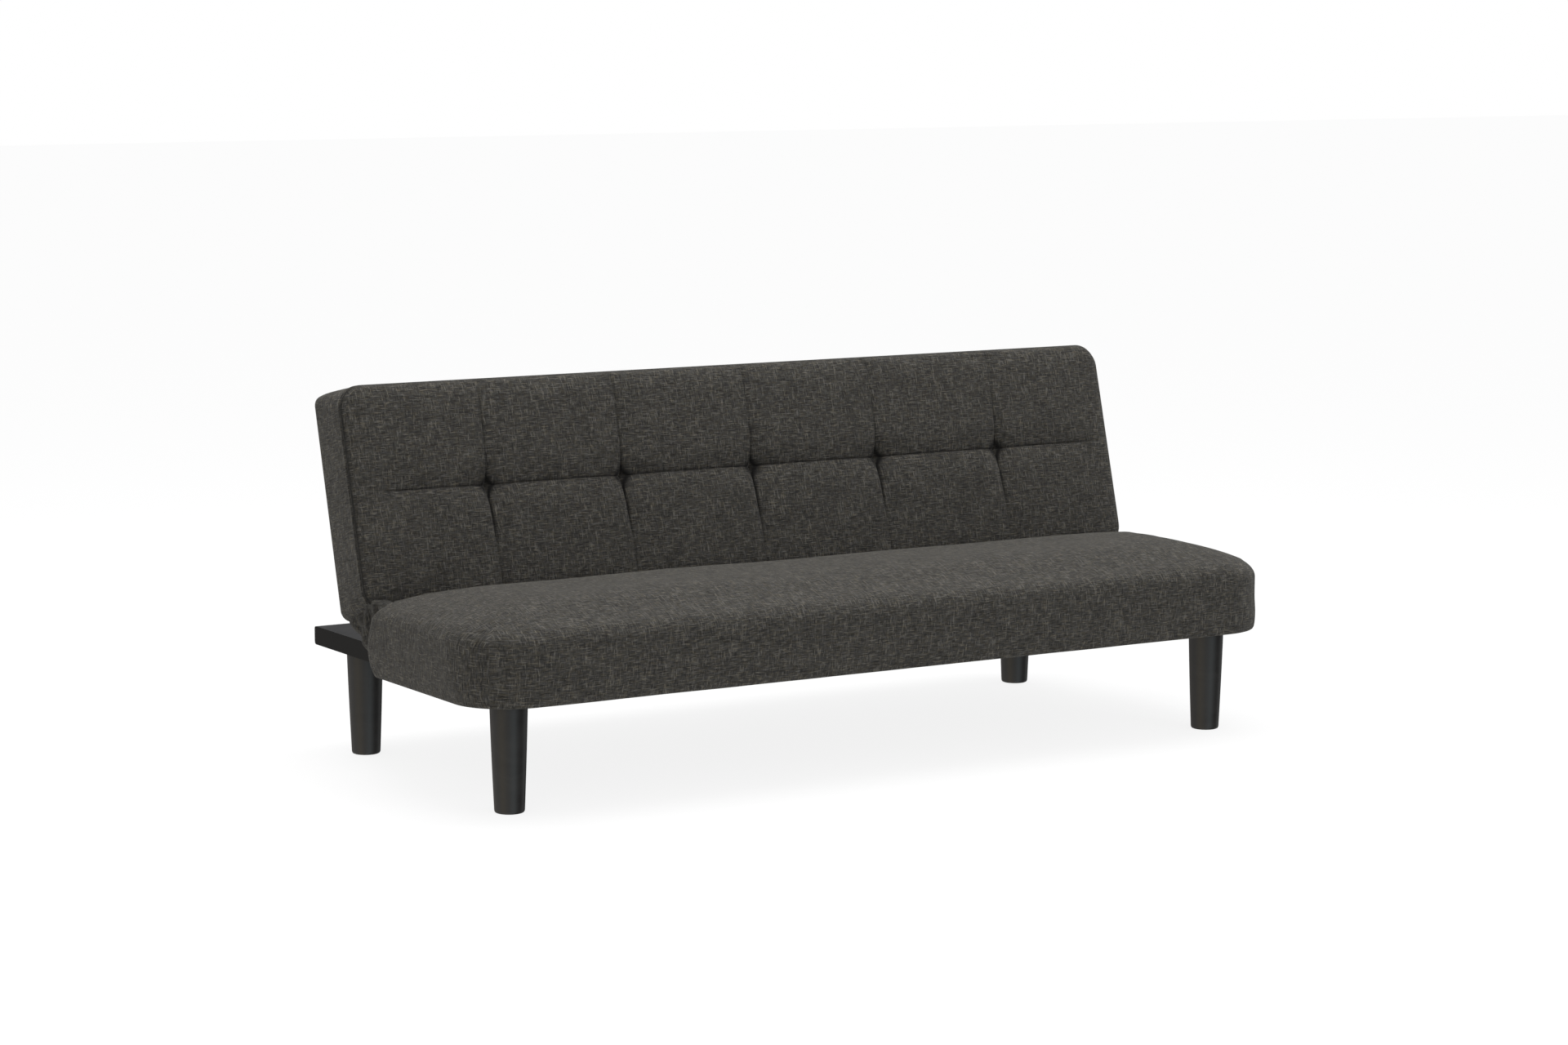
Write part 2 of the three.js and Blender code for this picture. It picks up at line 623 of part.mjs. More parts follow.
function addBackFrame() {
  const ys = [BACK_RAIL_FRONT, BACK_RAIL_REAR];
  const half = BACK_FRAME_HALF - RAIL - GAP;
  const bottom = [BACK_FRAME_BOTTOM, BACK_FRAME_BOTTOM + 40];
  const top = [BACK_FRAME_TOP - 30, BACK_FRAME_TOP];
  addPart(back, "back_bottom_rail", block([-half, half], ys, bottom), "timber");
  addPart(back, "back_top_rail", block([-half, half], ys, top), "timber");
  const between = [bottom[1] + GAP, top[0] - GAP];
  addPart(back, "back_centre_rail", block([-RAIL / 2, RAIL / 2], ys, between), "timber");
  for (const [hand, side] of Object.entries(SIDES)) {
    const xs = [BACK_FRAME_HALF - RAIL, BACK_FRAME_HALF];
    const rail = sideBlock(side, xs, ys, [BACK_FRAME_BOTTOM, BACK_FRAME_TOP]);
    const holes = BACK_BOLTS.map((bolt) => backBoltHole(side, bolt));
    addPart(back, `back_end_rail_${hand}`, cut(rail, ...holes), "timber");
  }
}

function addBackWebbing() {
  for (let i = 0; i < 3; i++) {
    const x = (i - 1) * WEBBING_SPACING;
    const ys = [BACK_RAIL_FRONT - 2, BACK_RAIL_FRONT - 0.5];
    const strap = block([x - 30, x + 30], ys, [BACK_FRAME_BOTTOM + 8, BACK_FRAME_TOP - 8]);
    addPart(back, `back_webbing_${i + 1}`, strap, "webbing");
  }
}

// The space that the hinge needs in the lower corner of the back: open below for the seat's
// arm, which swings through there, and closed round the catch and along the back's arm.
function backPockets(side) {
  const xs = [BACK_ARM_X - 0.5, SEAT_ARM_X + HINGE_PLATE + 4.5];
  return [
    sideBlock(side, xs, [-70, 42], [-60, 9]),
    sideBlock(side, xs, [-17.5, 52], [5, 72]),
    sideBlock(side, [BACK_ARM_X - 4, SEAT_ARM_X], [20, 85], [5, 220]),
    sideBlock(side, [BACK_ARM_X - 4, SEAT_ARM_X], [-17.5, 42], [-60, 72]),
  ];
}

function addBackUpholstery() {
  const pockets = Object.values(SIDES).flatMap(backPockets);
  const half = BACK_FRAME_HALF + 0.5;
  const frameYs = [BACK_RAIL_FRONT - 2.5, BACK_REAR_Y + 33];
  const frameSpace = block([-half, half], frameYs, [BACK_FRAME_BOTTOM - 1, BACK_FRAME_TOP + 1]);
  addPart(back, "back_foam", cut(backBody(SKIN + 0.6), frameSpace, ...pockets), "foam");
  const mouthZs = [BACK_MOUTH.low, BACK_MOUTH.high];
  const mouth = block([-BACK_MOUTH.half, BACK_MOUTH.half], [BACK_REAR_Y - 10, BACK_REAR_Y + 40], mouthZs);
  const openings = Object.values(SIDES).map((side) => backPockets(side)[0]);
  const cover = cut(backBody(0), backBody(SKIN), mouth, ...openings);
  addPart(back, "back_cover", cover, "cover");
  const panelYs = [BACK_REAR_Y - 1.8, BACK_REAR_Y - 0.5];
  const panelHalf = BACK_MOUTH.half - 1;
  const panelZs = [BACK_MOUTH.low + 1, BACK_MOUTH.high - 1];
  addPart(back, "back_rear_panel", block([-panelHalf, panelHalf], panelYs, panelZs), "cloth");
}

// ---------------------------------------------------------------- hinges: the back's half
function backArmOutline() {
  const shape = new THREE.Shape();
  shape.absarc(0, 0, HINGE_HEAD, Math.PI, 2 * Math.PI, false);
  shape.lineTo(53, 60);
  shape.lineTo(78, 66);
  shape.lineTo(78, 212);
  shape.lineTo(54, 212);
  shape.lineTo(54, 96);
  shape.lineTo(22, 64);
  shape.lineTo(-4, 54);
  shape.holes.push(roundHole(0, 0, PIN_RADIUS + GAP));
  for (const bolt of BACK_BOLTS) {
    shape.holes.push(roundHole(bolt.y, bolt.z, BOLT_RADIUS + GAP));
  }
  return shape;
}

function backArm(side) {
  const arm = sidePlate(side, backArmOutline(), BACK_ARM_X, BACK_ARM_X + HINGE_PLATE);
  const inner = BACK_ARM_X + HINGE_PLATE - 1;
  const outer = RATCHET_X + RATCHET_PLATE;
  const axle =
    side > 0
      ? barAlongX(PAWL_Y, PAWL_Z, PAWL_AXLE_RADIUS, inner, outer)
      : barAlongX(PAWL_Y, PAWL_Z, PAWL_AXLE_RADIUS, -outer, -inner);
  return join(arm, axle);
}

function backHingeBolt(side, bolt) {
  const head = BACK_ARM_X + HINGE_PLATE + GAP;
  const outline = [
    [0, head - HINGE_PLATE - RAIL + 2],
    [BOLT_RADIUS, head - HINGE_PLATE - RAIL + 2],
    [BOLT_RADIUS, head],
    [8, head],
    [8, head + 2],
    [0, head + 3],
  ];
  return turnedAlongX(side, bolt.y, bolt.z, outline);
}

// The pawl hangs from its own axle towards the ratchet, its nose just clear of the teeth.
function pawlOutline() {
  const shape = new THREE.Shape();
  shape.moveTo(PAWL_Y + 6.5, PAWL_Z);
  shape.absarc(PAWL_Y, PAWL_Z, 6.5, 0, Math.PI, false);
  shape.lineTo(PAWL_Y - 8, 21);
  shape.lineTo(PAWL_Y - 4, 17.6);
  shape.lineTo(PAWL_Y + 1, 23);
  shape.holes.push(roundHole(PAWL_Y, PAWL_Z, PAWL_AXLE_RADIUS + GAP));
  return shape;
}

function pawlSpring(side) {
  const x = side * (RATCHET_X + RATCHET_PLATE / 2);
  const points = [
    new THREE.Vector3(x, PAWL_Y + 26, PAWL_Z + 18),
    new THREE.Vector3(x, PAWL_Y + 14, PAWL_Z + 14),
    new THREE.Vector3(x, PAWL_Y + 10, PAWL_Z),
    new THREE.Vector3(x, PAWL_Y + 6.5, PAWL_Z - 12),
  ];
  return wire(points, 0.8, 8);
}

function addBackHinges() {
  for (const [hand, side] of Object.entries(SIDES)) {
    addPart(back, `back_hinge_arm_${hand}`, backArm(side), "steel");
    BACK_BOLTS.forEach((bolt, i) => {
      addPart(back, `back_hinge_bolt_${hand}_${i + 1}`, backHingeBolt(side, bolt), "zinc");
    });
    const pawl = sidePlate(side, pawlOutline(), RATCHET_X, RATCHET_X + RATCHET_PLATE);
    addPart(back, `pawl_${hand}`, pawl, "zinc");
    addPart(back, `pawl_spring_${hand}`, pawlSpring(side), "zinc");
  }
}

addLegs();
addBase();
addSeatFrame();
addSeatSprings();
addSeatUpholstery();
addPart(sofa, "gap_cloth", gapCloth(), "cover");
addSeatHinges();
addBackFrame();
addBackWebbing();
addBackUpholstery();
addBackHinges();

export default sofa;
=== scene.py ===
import math
import random

import bmesh
import bpy
import numpy as np
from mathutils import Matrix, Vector, kdtree


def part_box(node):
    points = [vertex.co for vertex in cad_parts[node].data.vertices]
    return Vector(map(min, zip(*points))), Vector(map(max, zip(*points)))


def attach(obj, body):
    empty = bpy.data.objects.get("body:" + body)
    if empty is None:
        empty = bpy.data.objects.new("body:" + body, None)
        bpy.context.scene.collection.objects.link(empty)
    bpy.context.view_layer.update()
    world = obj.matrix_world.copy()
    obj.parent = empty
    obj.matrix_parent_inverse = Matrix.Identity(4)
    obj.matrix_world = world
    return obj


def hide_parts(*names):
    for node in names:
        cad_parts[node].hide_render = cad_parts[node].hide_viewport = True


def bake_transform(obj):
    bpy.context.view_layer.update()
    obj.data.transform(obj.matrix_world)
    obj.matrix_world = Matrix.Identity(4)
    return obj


# The looks of a click-clack futon sofa bed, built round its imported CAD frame. Metres, +Z up.
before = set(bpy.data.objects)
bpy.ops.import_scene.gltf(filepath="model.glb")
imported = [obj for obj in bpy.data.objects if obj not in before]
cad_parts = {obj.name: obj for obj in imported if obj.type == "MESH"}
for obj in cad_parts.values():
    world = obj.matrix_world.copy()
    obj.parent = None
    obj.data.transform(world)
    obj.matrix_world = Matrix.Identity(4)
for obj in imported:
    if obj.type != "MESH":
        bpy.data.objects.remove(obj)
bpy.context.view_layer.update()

# ---------------------------------------------------------------- dimensions, in metres
# the seat: x along the sofa, y rearwards, z up
SEAT_HALF = 0.836
SEAT_SHIFT = -0.004  # the sewn cover sits this far to the left of the frame
SEAT_FRONT = -0.398
SEAT_REAR = 0.045
SEAT_BOTTOM = 0.1918
SEAT_SHOULDER = 0.298  # where the upright wall ends and the top's edge begins to turn in
SEAT_LEVEL = 0.352  # the height at which the top's falls act in full
SEAT_EDGE_RISE = 0.034  # height of the turned edge's arc, were it a full quarter
SEAT_EDGE_DRAW = 0.040  # and its depth
SEAT_EDGE_TURNS = (0, 9, 18, 27, 36, 44, 51, 58)  # degrees turned at each of its rings
SEAT_CROWN = 0.0268  # the top's rise inside its turned edge
SEAT_CROWN_REACH = 0.19
SEAT_MOUTH = (0.765, -0.345, 0.002)  # half-length, front and rear of the opening underneath
SEAT_MOUTH_TOP = 0.290
# the wall's rings below the shoulder: height, and how far the hem draws in there
SEAT_WALL = (
    (SEAT_BOTTOM, 0.0135), (0.1922, 0.0105), (0.1935, 0.009), (0.197, 0.0075), (0.203, 0.006),
    (0.210, 0.0046), (0.219, 0.003), (0.229, 0.0016), (0.239, 0.0007), (0.249, 0.0002),
    (0.259, 0), (0.269, 0), (0.279, 0), (0.288, 0),
)
SEAT_FOLDS = ((0.812, 0.0022, 0.007), (0.786, 0.0012, 0.010))  # place along x, depth, width

# the back, in its own frame: u along the sofa, v up the back from the pivot, w rearwards
LEAN = math.radians(15)
PIVOT = (0.113, 0.313)
BACK_HALF = 0.815
BACK_LOW = -0.029
BACK_HIGH = 0.377
BACK_SEAM = -0.020  # the plane that the tufted face stands out from
BACK_REAR = 0.086
BACK_CORNER = 0.043
BACK_LOW_CORNERS = (0.020, 0.046)  # radius at the rear and at the front
BACK_HIGH_CORNERS = (0.017, BACK_CORNER)
BACK_MOUTH = (0.7675, -0.0035, 0.3275)  # half-length, bottom and top of the opening behind
BACK_MOUTH_DEPTH = 0.034
BACK_REAR_EDGE = ((0, -0.0062), (0.0004, -0.0040), (0.0016, -0.0021), (0.0036, -0.0008), (0.0066, 0.0002))
BACK_SIDE = (0.073, 0.064, 0.055, 0.046, 0.036, 0.026, 0.016, 0.006, -0.002, -0.008, -0.0125)
BACK_SWELL = 0.0012  # how far the side swells between the rear edge and the welt
# the welt's groove and the face's turned edge: level and offset
BACK_WELT = (
    (-0.0150, 0.0010), (-0.0170, 0.0004), (-0.0184, -0.0016), (-0.0197, -0.0036), (-0.0210, -0.0018),
    (-0.0224, 0.0002), (-0.0246, 0.0000), (-0.0278, -0.0020), (-0.0310, -0.0052),
)

# the tufted face: depths and widths of its sewn lines
TUFT_STEP = 0.275
TUFT_XS = [i * TUFT_STEP for i in range(-2, 3)]
TUFT_HEIGHT = 0.184
TUFT_DIMPLE = (0.0042, 0.030)
FACE_CROWN = 0.0225
SEAM_VALLEY = (0.0066, 0.0020, 0.050)  # depth, more of it near the tufts, width
CREASE_VALLEY = (0.0040, 0.0092, 0.046)  # the same for the upright creases
SEAM_GROOVE = (0.0016, 0.0016)
CREASE_GROOVE = (0.0042, 0.0022)

MESH_STEP = 0.0055
MOUTH_LIP = 0.0015  # width of the slope at the edge of an opening

SIM_STEP = 0.010
SIM_PRESSURE = 4
SIM_FRAMES = 16
SIM_CAP = 0.004  # the most that the simulated fullness may add

# the gap cloth's line from seat to back, (y, z): over the runners, between them, at the
# ends, and where the ends close
GAP_RUNNER = [(0.041, 0.262), (0.060, 0.236), (0.094, 0.220), (0.126, 0.232), (0.144, 0.256), (0.152, 0.270)]
GAP_MIDDLE = [(0.041, 0.240), (0.058, 0.212), (0.098, 0.198), (0.130, 0.212), (0.144, 0.250), (0.152, 0.270)]
GAP_OUTER = [(0.030, 0.312), (0.037, 0.250), (0.056, 0.207), (0.112, 0.198), (0.152, 0.226), (0.192, 0.272)]
GAP_CLOSING = [(0.030, 0.300), (0.058, 0.311), (0.084, 0.318), (0.102, 0.295), (0.150, 0.280), (0.192, 0.268)]
GAP_HALF = 0.806
GAP_FINE = 0.770  # the grid is finer from here outwards
GAP_TURN = 0.034  # how far inside the end it starts to close
GAP_LID = 0.034  # how far the gathered end turns inwards over the hinge
GAP_THICKNESS = 0.0016

LEG_TOP = 0.0325
LEG_FOOT = 0.026
LEG_SWELL = 0.0004
LEG_SIDES = 72
LEG_FOOT_EDGE = ((0.0060, 0.0), (0.0035, 0.0003), (0.0015, 0.0012), (0.0004, 0.0030), (0.0, 0.0055))
LEG_TOP_EDGE = ((0.0, 0.0022), (0.0004, 0.0010), (0.0014, 0.0002), (0.0026, 0.0))


# ---------------------------------------------------------------- small helpers
def smooth(low, high, value):
    """An eased step from 0 at low to 1 at high."""
    t = np.clip((value - low) / (high - low), 0, 1)
    return t * t * (3 - 2 * t)


def add_object(name, mesh):
    obj = bpy.data.objects.new(name, mesh)
    bpy.context.scene.collection.objects.link(obj)
    return obj


def bake_modifiers(obj):
    """Applies the object's modifiers to its mesh."""
    depsgraph = bpy.context.evaluated_depsgraph_get()
    mesh = bpy.data.meshes.new_from_object(obj.evaluated_get(depsgraph))
    obj.modifiers.clear()
    obj.data = mesh


def vectors(mesh, kind):
    """A mesh's points ("co") or their normals ("normal"), as rows of three."""
    flat = np.empty(len(mesh.vertices) * 3, np.float32)
    mesh.vertices.foreach_get(kind, flat)
    return flat.reshape(-1, 3).astype(float)


def set_weave(mesh, flat):
    """Stores the flat cloth's coordinates at the corners of every face."""
    layer = mesh.attributes.new("weave", "FLOAT_VECTOR", "CORNER")
    layer.data.foreach_set("vector", flat.astype(np.float32).ravel())


def grid_quads(ids):
    """The quads between the points of a grid."""
    corners = [ids[:-1, :-1], ids[1:, :-1], ids[1:, 1:], ids[:-1, 1:]]
    return np.stack(corners, -1).reshape(-1, 4)


def lines(low, high, step, extra, clear):
    """Grid lines from low to high about step apart, with extra ones and room round them."""
    count = max(2, round((high - low) / step))
    even = [low + (high - low) * i / count for i in range(count + 1)]
    kept = [v for v in even if all(abs(v - e) > clear for e in extra) or v in (low, high)]
    return np.array(sorted(set(kept + [e for e in extra if low < e < high])))


def ripples(count, seed, wavelength):
    """Smooth seeded waves over a plane, as a function of two coordinates, about -1 to 1."""
    rng = random.Random(seed)
    waves = []
    for _ in range(count):
        angle = rng.uniform(0, math.tau)
        k = math.tau / (wavelength * rng.uniform(0.6, 1.8))
        waves.append((k * math.cos(angle), k * math.sin(angle), rng.uniform(0, math.tau)))

    def at(a, b):
        total = sum(np.sin(ka * a + kb * b + phase) for ka, kb, phase in waves)
        return total / math.sqrt(count)

    return at


# ---------------------------------------------------------------- the cushion block
class Block:
    """A closed upholstered form: a low and a high face over one rounded outline, and a wall
    of rings between them. u and v are in the faces' plane, w is across the thickness. A ring
    is (w, outward offset, corner radius at low v, corner radius at high v)."""

    def __init__(self, us, vs, rings):
        self.us, self.vs, self.rings = us, vs, rings
        self.half_u = us[-1]
        self.mid_v = (vs[0] + vs[-1]) / 2
        self.half_v = (vs[-1] - vs[0]) / 2
        self.U, self.V = np.meshgrid(us, vs, indexing="ij")

    def rounded(self, low_radius, high_radius, offset):
        """The faces' grid with its corners rounded, grown outwards by offset."""
        u, v = self.U.copy(), self.V.copy()
        for su in (-1, 1):
            for sv, radius in ((-1, low_radius), (1, high_radius)):
                straight_u, straight_v = self.half_u - radius, self.half_v - radius
                p = (su * self.U - straight_u) / radius
                q = (sv * (self.V - self.mid_v) - straight_v) / radius
                inside = (p > 0) & (q > 0)
                round_u = straight_u + radius * p * np.sqrt(1 - np.clip(q, 0, 1) ** 2 / 2)
                round_v = straight_v + radius * q * np.sqrt(1 - np.clip(p, 0, 1) ** 2 / 2)
                u = np.where(inside, su * round_u, u)
                v = np.where(inside, self.mid_v + sv * round_v, v)
        grow_u, grow_v = 1 + offset / self.half_u, 1 + offset / self.half_v
        return u * grow_u, self.mid_v + (v - self.mid_v) * grow_v

    def around(self, grid):
        """The values round the grid's border, in order."""
        return np.concatenate([grid[:, 0], grid[-1, 1:], grid[-2::-1, -1], grid[0, -2:0:-1]])

    def face_ids(self):
        """The point numbers of the low and of the high face, as grids."""
        low = np.arange(self.U.size).reshape(self.U.shape)
        return low, low + low.size

    def skin(self, low_height, high_height):
        """All points, and the point numbers of each ring from the low face to the high one."""
        points = []
        for ring, height in ((self.rings[0], low_height), (self.rings[-1], high_height)):
            w, offset, low_radius, high_radius = ring
            u, v = self.rounded(low_radius, high_radius, offset)
            points.append(np.stack([u, v, w + height(u, v)], -1).reshape(-1, 3))
        low, high = self.face_ids()
        ids = [self.around(low)]
        start, count = 2 * low.size, len(ids[0])
        for w, offset, low_radius, high_radius in self.rings[1:-1]:
            u, v = self.rounded(low_radius, high_radius, offset)
            points.append(np.stack([self.around(u), self.around(v), np.full(count, w)], -1))
            ids.append(np.arange(start, start + count))
            start += count
        ids.append(self.around(high))
        return np.concatenate(points), ids

    def depths(self):
        """How far each ring lies below the high face, measured along the wall."""
        down = [0.0]
        for a, b in zip(self.rings[::-1], self.rings[-2::-1]):
            down.append(down[-1] + math.hypot(a[0] - b[0], a[1] - b[1]))
        return down[::-1]

    def faces(self, points):
        """The two faces' quads, and the flat cloth's coordinates at their corners. The third
        coordinate only keeps one panel's weave apart from another's."""
        quads, weave = [], []
        for ids, panel in zip(self.face_ids(), (3.0, 0.0)):
            quads.append(grid_quads(ids))
            flat = points[quads[-1]]
            flat[..., 2] = panel
            weave.append(flat)
        return quads, weave

    def wall(self, points, ids):
        """The wall's quads and cloth: on each side the weave runs on from the high face."""
        nu, nv = self.U.shape
        side = np.repeat([0, 1, 2, 3], [nu - 1, nv - 1, nu - 1, nv - 1])
        # for each side: the axis across it, where it starts, which way it goes, and its panel
        sides = (
            (1, self.vs[0], -1, 0.0), (0, self.us[-1], 1, 7.0),
            (1, self.vs[-1], 1, 9.0), (0, self.us[0], -1, 11.0),
        )
        down = self.depths()
        quads, weave = [], []
        for k, (low, high) in enumerate(zip(ids, ids[1:])):
            quads.append(np.stack([low, np.roll(low, -1), np.roll(high, -1), high], -1))
            flat = points[quads[-1]]
            distance = np.array([down[k], down[k], down[k + 1], down[k + 1]])
            for number, (axis, start, sign, panel) in enumerate(sides):
                flat[side == number, :, axis] = start + sign * distance
                flat[side == number, :, 2] = panel
            weave.append(flat)
        return quads, weave

    def build(self, name, low_height, high_height, place, seam_thread_and_shade=None):
        """Makes the object: place takes its points to the row frame, and the last argument says how dark each
        point is painted along the sewn lines: their dark thread, and painted shade in their grooves."""
        points, ids = self.skin(low_height, high_height)
        face_quads, face_weave = self.faces(points)
        wall_quads, wall_weave = self.wall(points, ids)
        mesh = bpy.data.meshes.new(name)
        mesh.from_pydata(place(points).tolist(), [], np.concatenate(face_quads + wall_quads).tolist())
        set_weave(mesh, np.concatenate(face_weave + wall_weave))
        if seam_thread_and_shade is not None:
            # the seam attribute holds dark thread and painted shade along the sewn lines
            seam = mesh.attributes.new("seam", "FLOAT", "POINT")
            seam.data.foreach_set("value", seam_thread_and_shade(points).astype(np.float32))
        bm = bmesh.new()
        bm.from_mesh(mesh)
        bmesh.ops.recalc_face_normals(bm, faces=bm.faces)
        bm.to_mesh(mesh)
        bm.free()
        mesh.shade_smooth()
        return add_object(name, mesh)


def mouth_recess(u, v, mouth, depth):
    """How far the frame's opening is let in: depth inside the mouth, 0 outside it."""
    half, low, high = mouth
    inside = np.minimum(np.minimum(half - np.abs(u), v - low), high - v)
    return depth * smooth(0.0, MOUTH_LIP, inside)


def mouth_lines(mouth):
    """The grid lines at both sides of the mouth's lip, along u and along v."""
    half, low, high = mouth
    return [half - MOUTH_LIP, half, -half, -half + MOUTH_LIP], [low, low + MOUTH_LIP, high - MOUTH_LIP, high]


def rounded_inset(u, half_u, v, half_v, radius):
    """How far inside a rectangle with rounded corners a point lies."""
    pu, pv = u - (half_u - radius), v - (half_v - radius)
    return radius - np.hypot(np.maximum(pu, 0), np.maximum(pv, 0)) - np.minimum(np.maximum(pu, pv), 0)


# ---------------------------------------------------------------- seat
def seat_shape(points):
    """The seat's soft shape, from the plain rounded block."""
    x, y, z = points[:, 0], points[:, 1].copy(), points[:, 2].copy()
    level = np.clip((z - SEAT_BOTTOM) / (SEAT_LEVEL - SEAT_BOTTOM), 0, 1.1)
    # the rear face leans forward as it rises, and turns under at the bottom
    lean, turn_under = 0.025, 0.005
    rearward = smooth(-0.06, SEAT_REAR, y)
    y -= rearward * lean * smooth(0.235, 0.330, z)
    y -= rearward * turn_under * (1 - smooth(0.193, 0.219, z))
    # the top falls towards the ends, further at the right one, and towards the rear and front
    fall, droop, right_droop = 0.003, 0.004, 0.005
    rear_fall, front_fall = 0.003, 0.007
    end = np.clip((np.abs(x) - 0.640) / 0.198, 0, 1)
    z -= level ** 1.5 * (fall * end + (droop + right_droop * (x > 0)) * end ** 2)
    z -= level ** 2 * rear_fall * smooth(-0.17, 0.04, y)
    z -= level ** 2 * front_fall * (1 - smooth(-0.38, -0.24, y))
    # slack in the cloth
    top_slack, front_slack = 0.0012, 0.0008
    z += level ** 3 * top_slack * ripples(9, 11, 0.34)(x, y * 1.4)
    y += front_slack * ripples(7, 5, 0.22)(x, z * 1.3) * (y < -0.38)
    # soft upright folds at the front corners, leaning outwards as they rise
    for side in (-1, 1):
        for at, depth, width in SEAT_FOLDS:
            aside = (np.abs(x) - at - 0.05 * (z - 0.25)) / width
            near = np.exp(-(aside ** 2)) * (x * side > 0) * (y < -0.30)
            y += near * depth * smooth(0.195, 0.215, z) * (1 - smooth(0.285, 0.325, z))
    return np.stack([x + SEAT_SHIFT, y, z], -1)


def seat_rings():
    """The upright wall with its drawn-in hem, then the turned edge of the top."""
    rings = []
    for z, inset in SEAT_WALL:
        share = smooth(0.19, 0.262, z)
        rings.append((z, -inset, 0.104 + 0.022 * share, 0.018 + 0.004 * share))
    for degrees in SEAT_EDGE_TURNS:
        angle = math.radians(degrees)
        rise, draw = SEAT_EDGE_RISE * math.sin(angle), SEAT_EDGE_DRAW * (1 - math.cos(angle))
        turned = degrees / SEAT_EDGE_TURNS[-1]
        rings.append((SEAT_SHOULDER + rise, -draw, 0.126 + 0.004 * turned, 0.022 + 0.012 * turned))
    return rings


def make_seat():
    room = 0.001
    rings = seat_rings()
    mouth_us, mouth_vs = mouth_lines(SEAT_MOUTH)
    us = lines(-SEAT_HALF, SEAT_HALF, MESH_STEP, mouth_us, room)
    vs = lines(SEAT_FRONT, SEAT_REAR, MESH_STEP, mouth_vs, room)
    block = Block(us, vs, rings)
    _, edge_offset, front_radius, rear_radius = rings[-1]

    def crown(u, v):
        radius = np.where(v < block.mid_v, front_radius, rear_radius)
        inset = rounded_inset(np.abs(u), block.half_u, np.abs(v - block.mid_v), block.half_v, radius)
        d = np.clip((inset + edge_offset) / SEAT_CROWN_REACH, 0, 1)
        return SEAT_CROWN * (1 - (1 - d) ** 2.8)

    def under(u, v):
        return mouth_recess(u, v, SEAT_MOUTH, SEAT_MOUTH_TOP - SEAT_BOTTOM)

    return block.build("seat_cushion", under, crown, seat_shape)


# ---------------------------------------------------------------- back
def back_place(points):
    """From the back's own frame to the row frame."""
    x, up, deep = points[:, 0], points[:, 1], points[:, 2]
    y = PIVOT[0] + deep * math.cos(LEAN) + up * math.sin(LEAN)
    z = PIVOT[1] - deep * math.sin(LEAN) + up * math.cos(LEAN)
    return np.stack([x, y, z], -1)


def valley(distance, width):
    """A sewn valley between two pads: sharp at the bottom, round at the shoulders."""
    return (1 - np.clip(np.abs(distance) / width, 0, 1)) ** 2.2


def thread(distance, width):
    """The narrow line that a seam's thread draws: 1 on it, soon 0 beside it."""
    return np.exp(-((distance / width) ** 2))


def crease_run(above):
    """How sharp an upright crease is: strong below its tuft, soon faint above it."""
    below = 0.30 + 0.70 * (1 - smooth(0.060, 0.125, -above))
    return np.where(above < 0, below, 0.27 + 0.50 * np.exp(-above / 0.040))


def from_tufts(u, v):
    """How far a point is beside the nearest upright crease, and above the row of tufts."""
    return np.min([np.abs(u - x) for x in TUFT_XS], axis=0), v - TUFT_HEIGHT


def face_relief(u, v, inset):
    """How far the tufted front face stands in front of its seam plane."""
    edge = np.clip((inset + 0.010) / 0.060, 0, 1)
    crown = FACE_CROWN * np.sqrt(1 - (1 - edge) ** 2.4)
    across, above = from_tufts(u, v)
    cell = 0.5 + 0.5 * np.cos(math.tau * u / TUFT_STEP)  # 1 at the tufts, 0 between them
    fade = 1 - smooth(0.715, 0.800, np.abs(u))
    inner = 1 - smooth(0.60, 0.66, np.abs(u))
    depth, more, width = SEAM_VALLEY
    seam = (depth + more * cell ** 2 * inner) * fade * valley(above, width)
    reach = np.where(above < 0, np.exp(-((np.abs(above) / 0.085) ** 1.6)), np.exp(-np.abs(above) / 0.042))
    depth, more, width = CREASE_VALLEY
    upright = (depth + more * reach) * valley(across, width)
    depth, width = TUFT_DIMPLE
    tuft = depth * np.exp(-((np.hypot(across, above * 0.9) / width) ** 1.4))
    groove = SEAM_GROOVE[0] * thread(above, SEAM_GROOVE[1]) * fade
    groove += CREASE_GROOVE[0] * thread(across, CREASE_GROOVE[1]) * crease_run(above)
    live = smooth(0.0, 0.012, inset)
    slack = 0.0009 * ripples(10, 23, 0.16)(u, v * 1.2)
    return crown - (seam + upright + tuft + groove) * live + slack * live


def back_rings():
    """A rounded rear edge, a slightly swollen side, the welt and the face's turned edge."""
    levels = [(BACK_REAR - w, offset) for w, offset in BACK_REAR_EDGE]
    for w in BACK_SIDE:
        levels.append((w, BACK_SWELL * math.sin(math.pi * (BACK_REAR - w) / (BACK_REAR - BACK_SEAM))))
    levels += BACK_WELT
    rings = []
    for w, offset in levels:
        rear, front = BACK_LOW_CORNERS
        low = rear + (front - rear) * (1 - smooth(-0.02, 0.06, w))
        rear, front = BACK_HIGH_CORNERS
        high = rear + (front - rear) * (1 - smooth(-0.02, 0.07, w))
        rings.append((w, offset, low, high))
    return rings


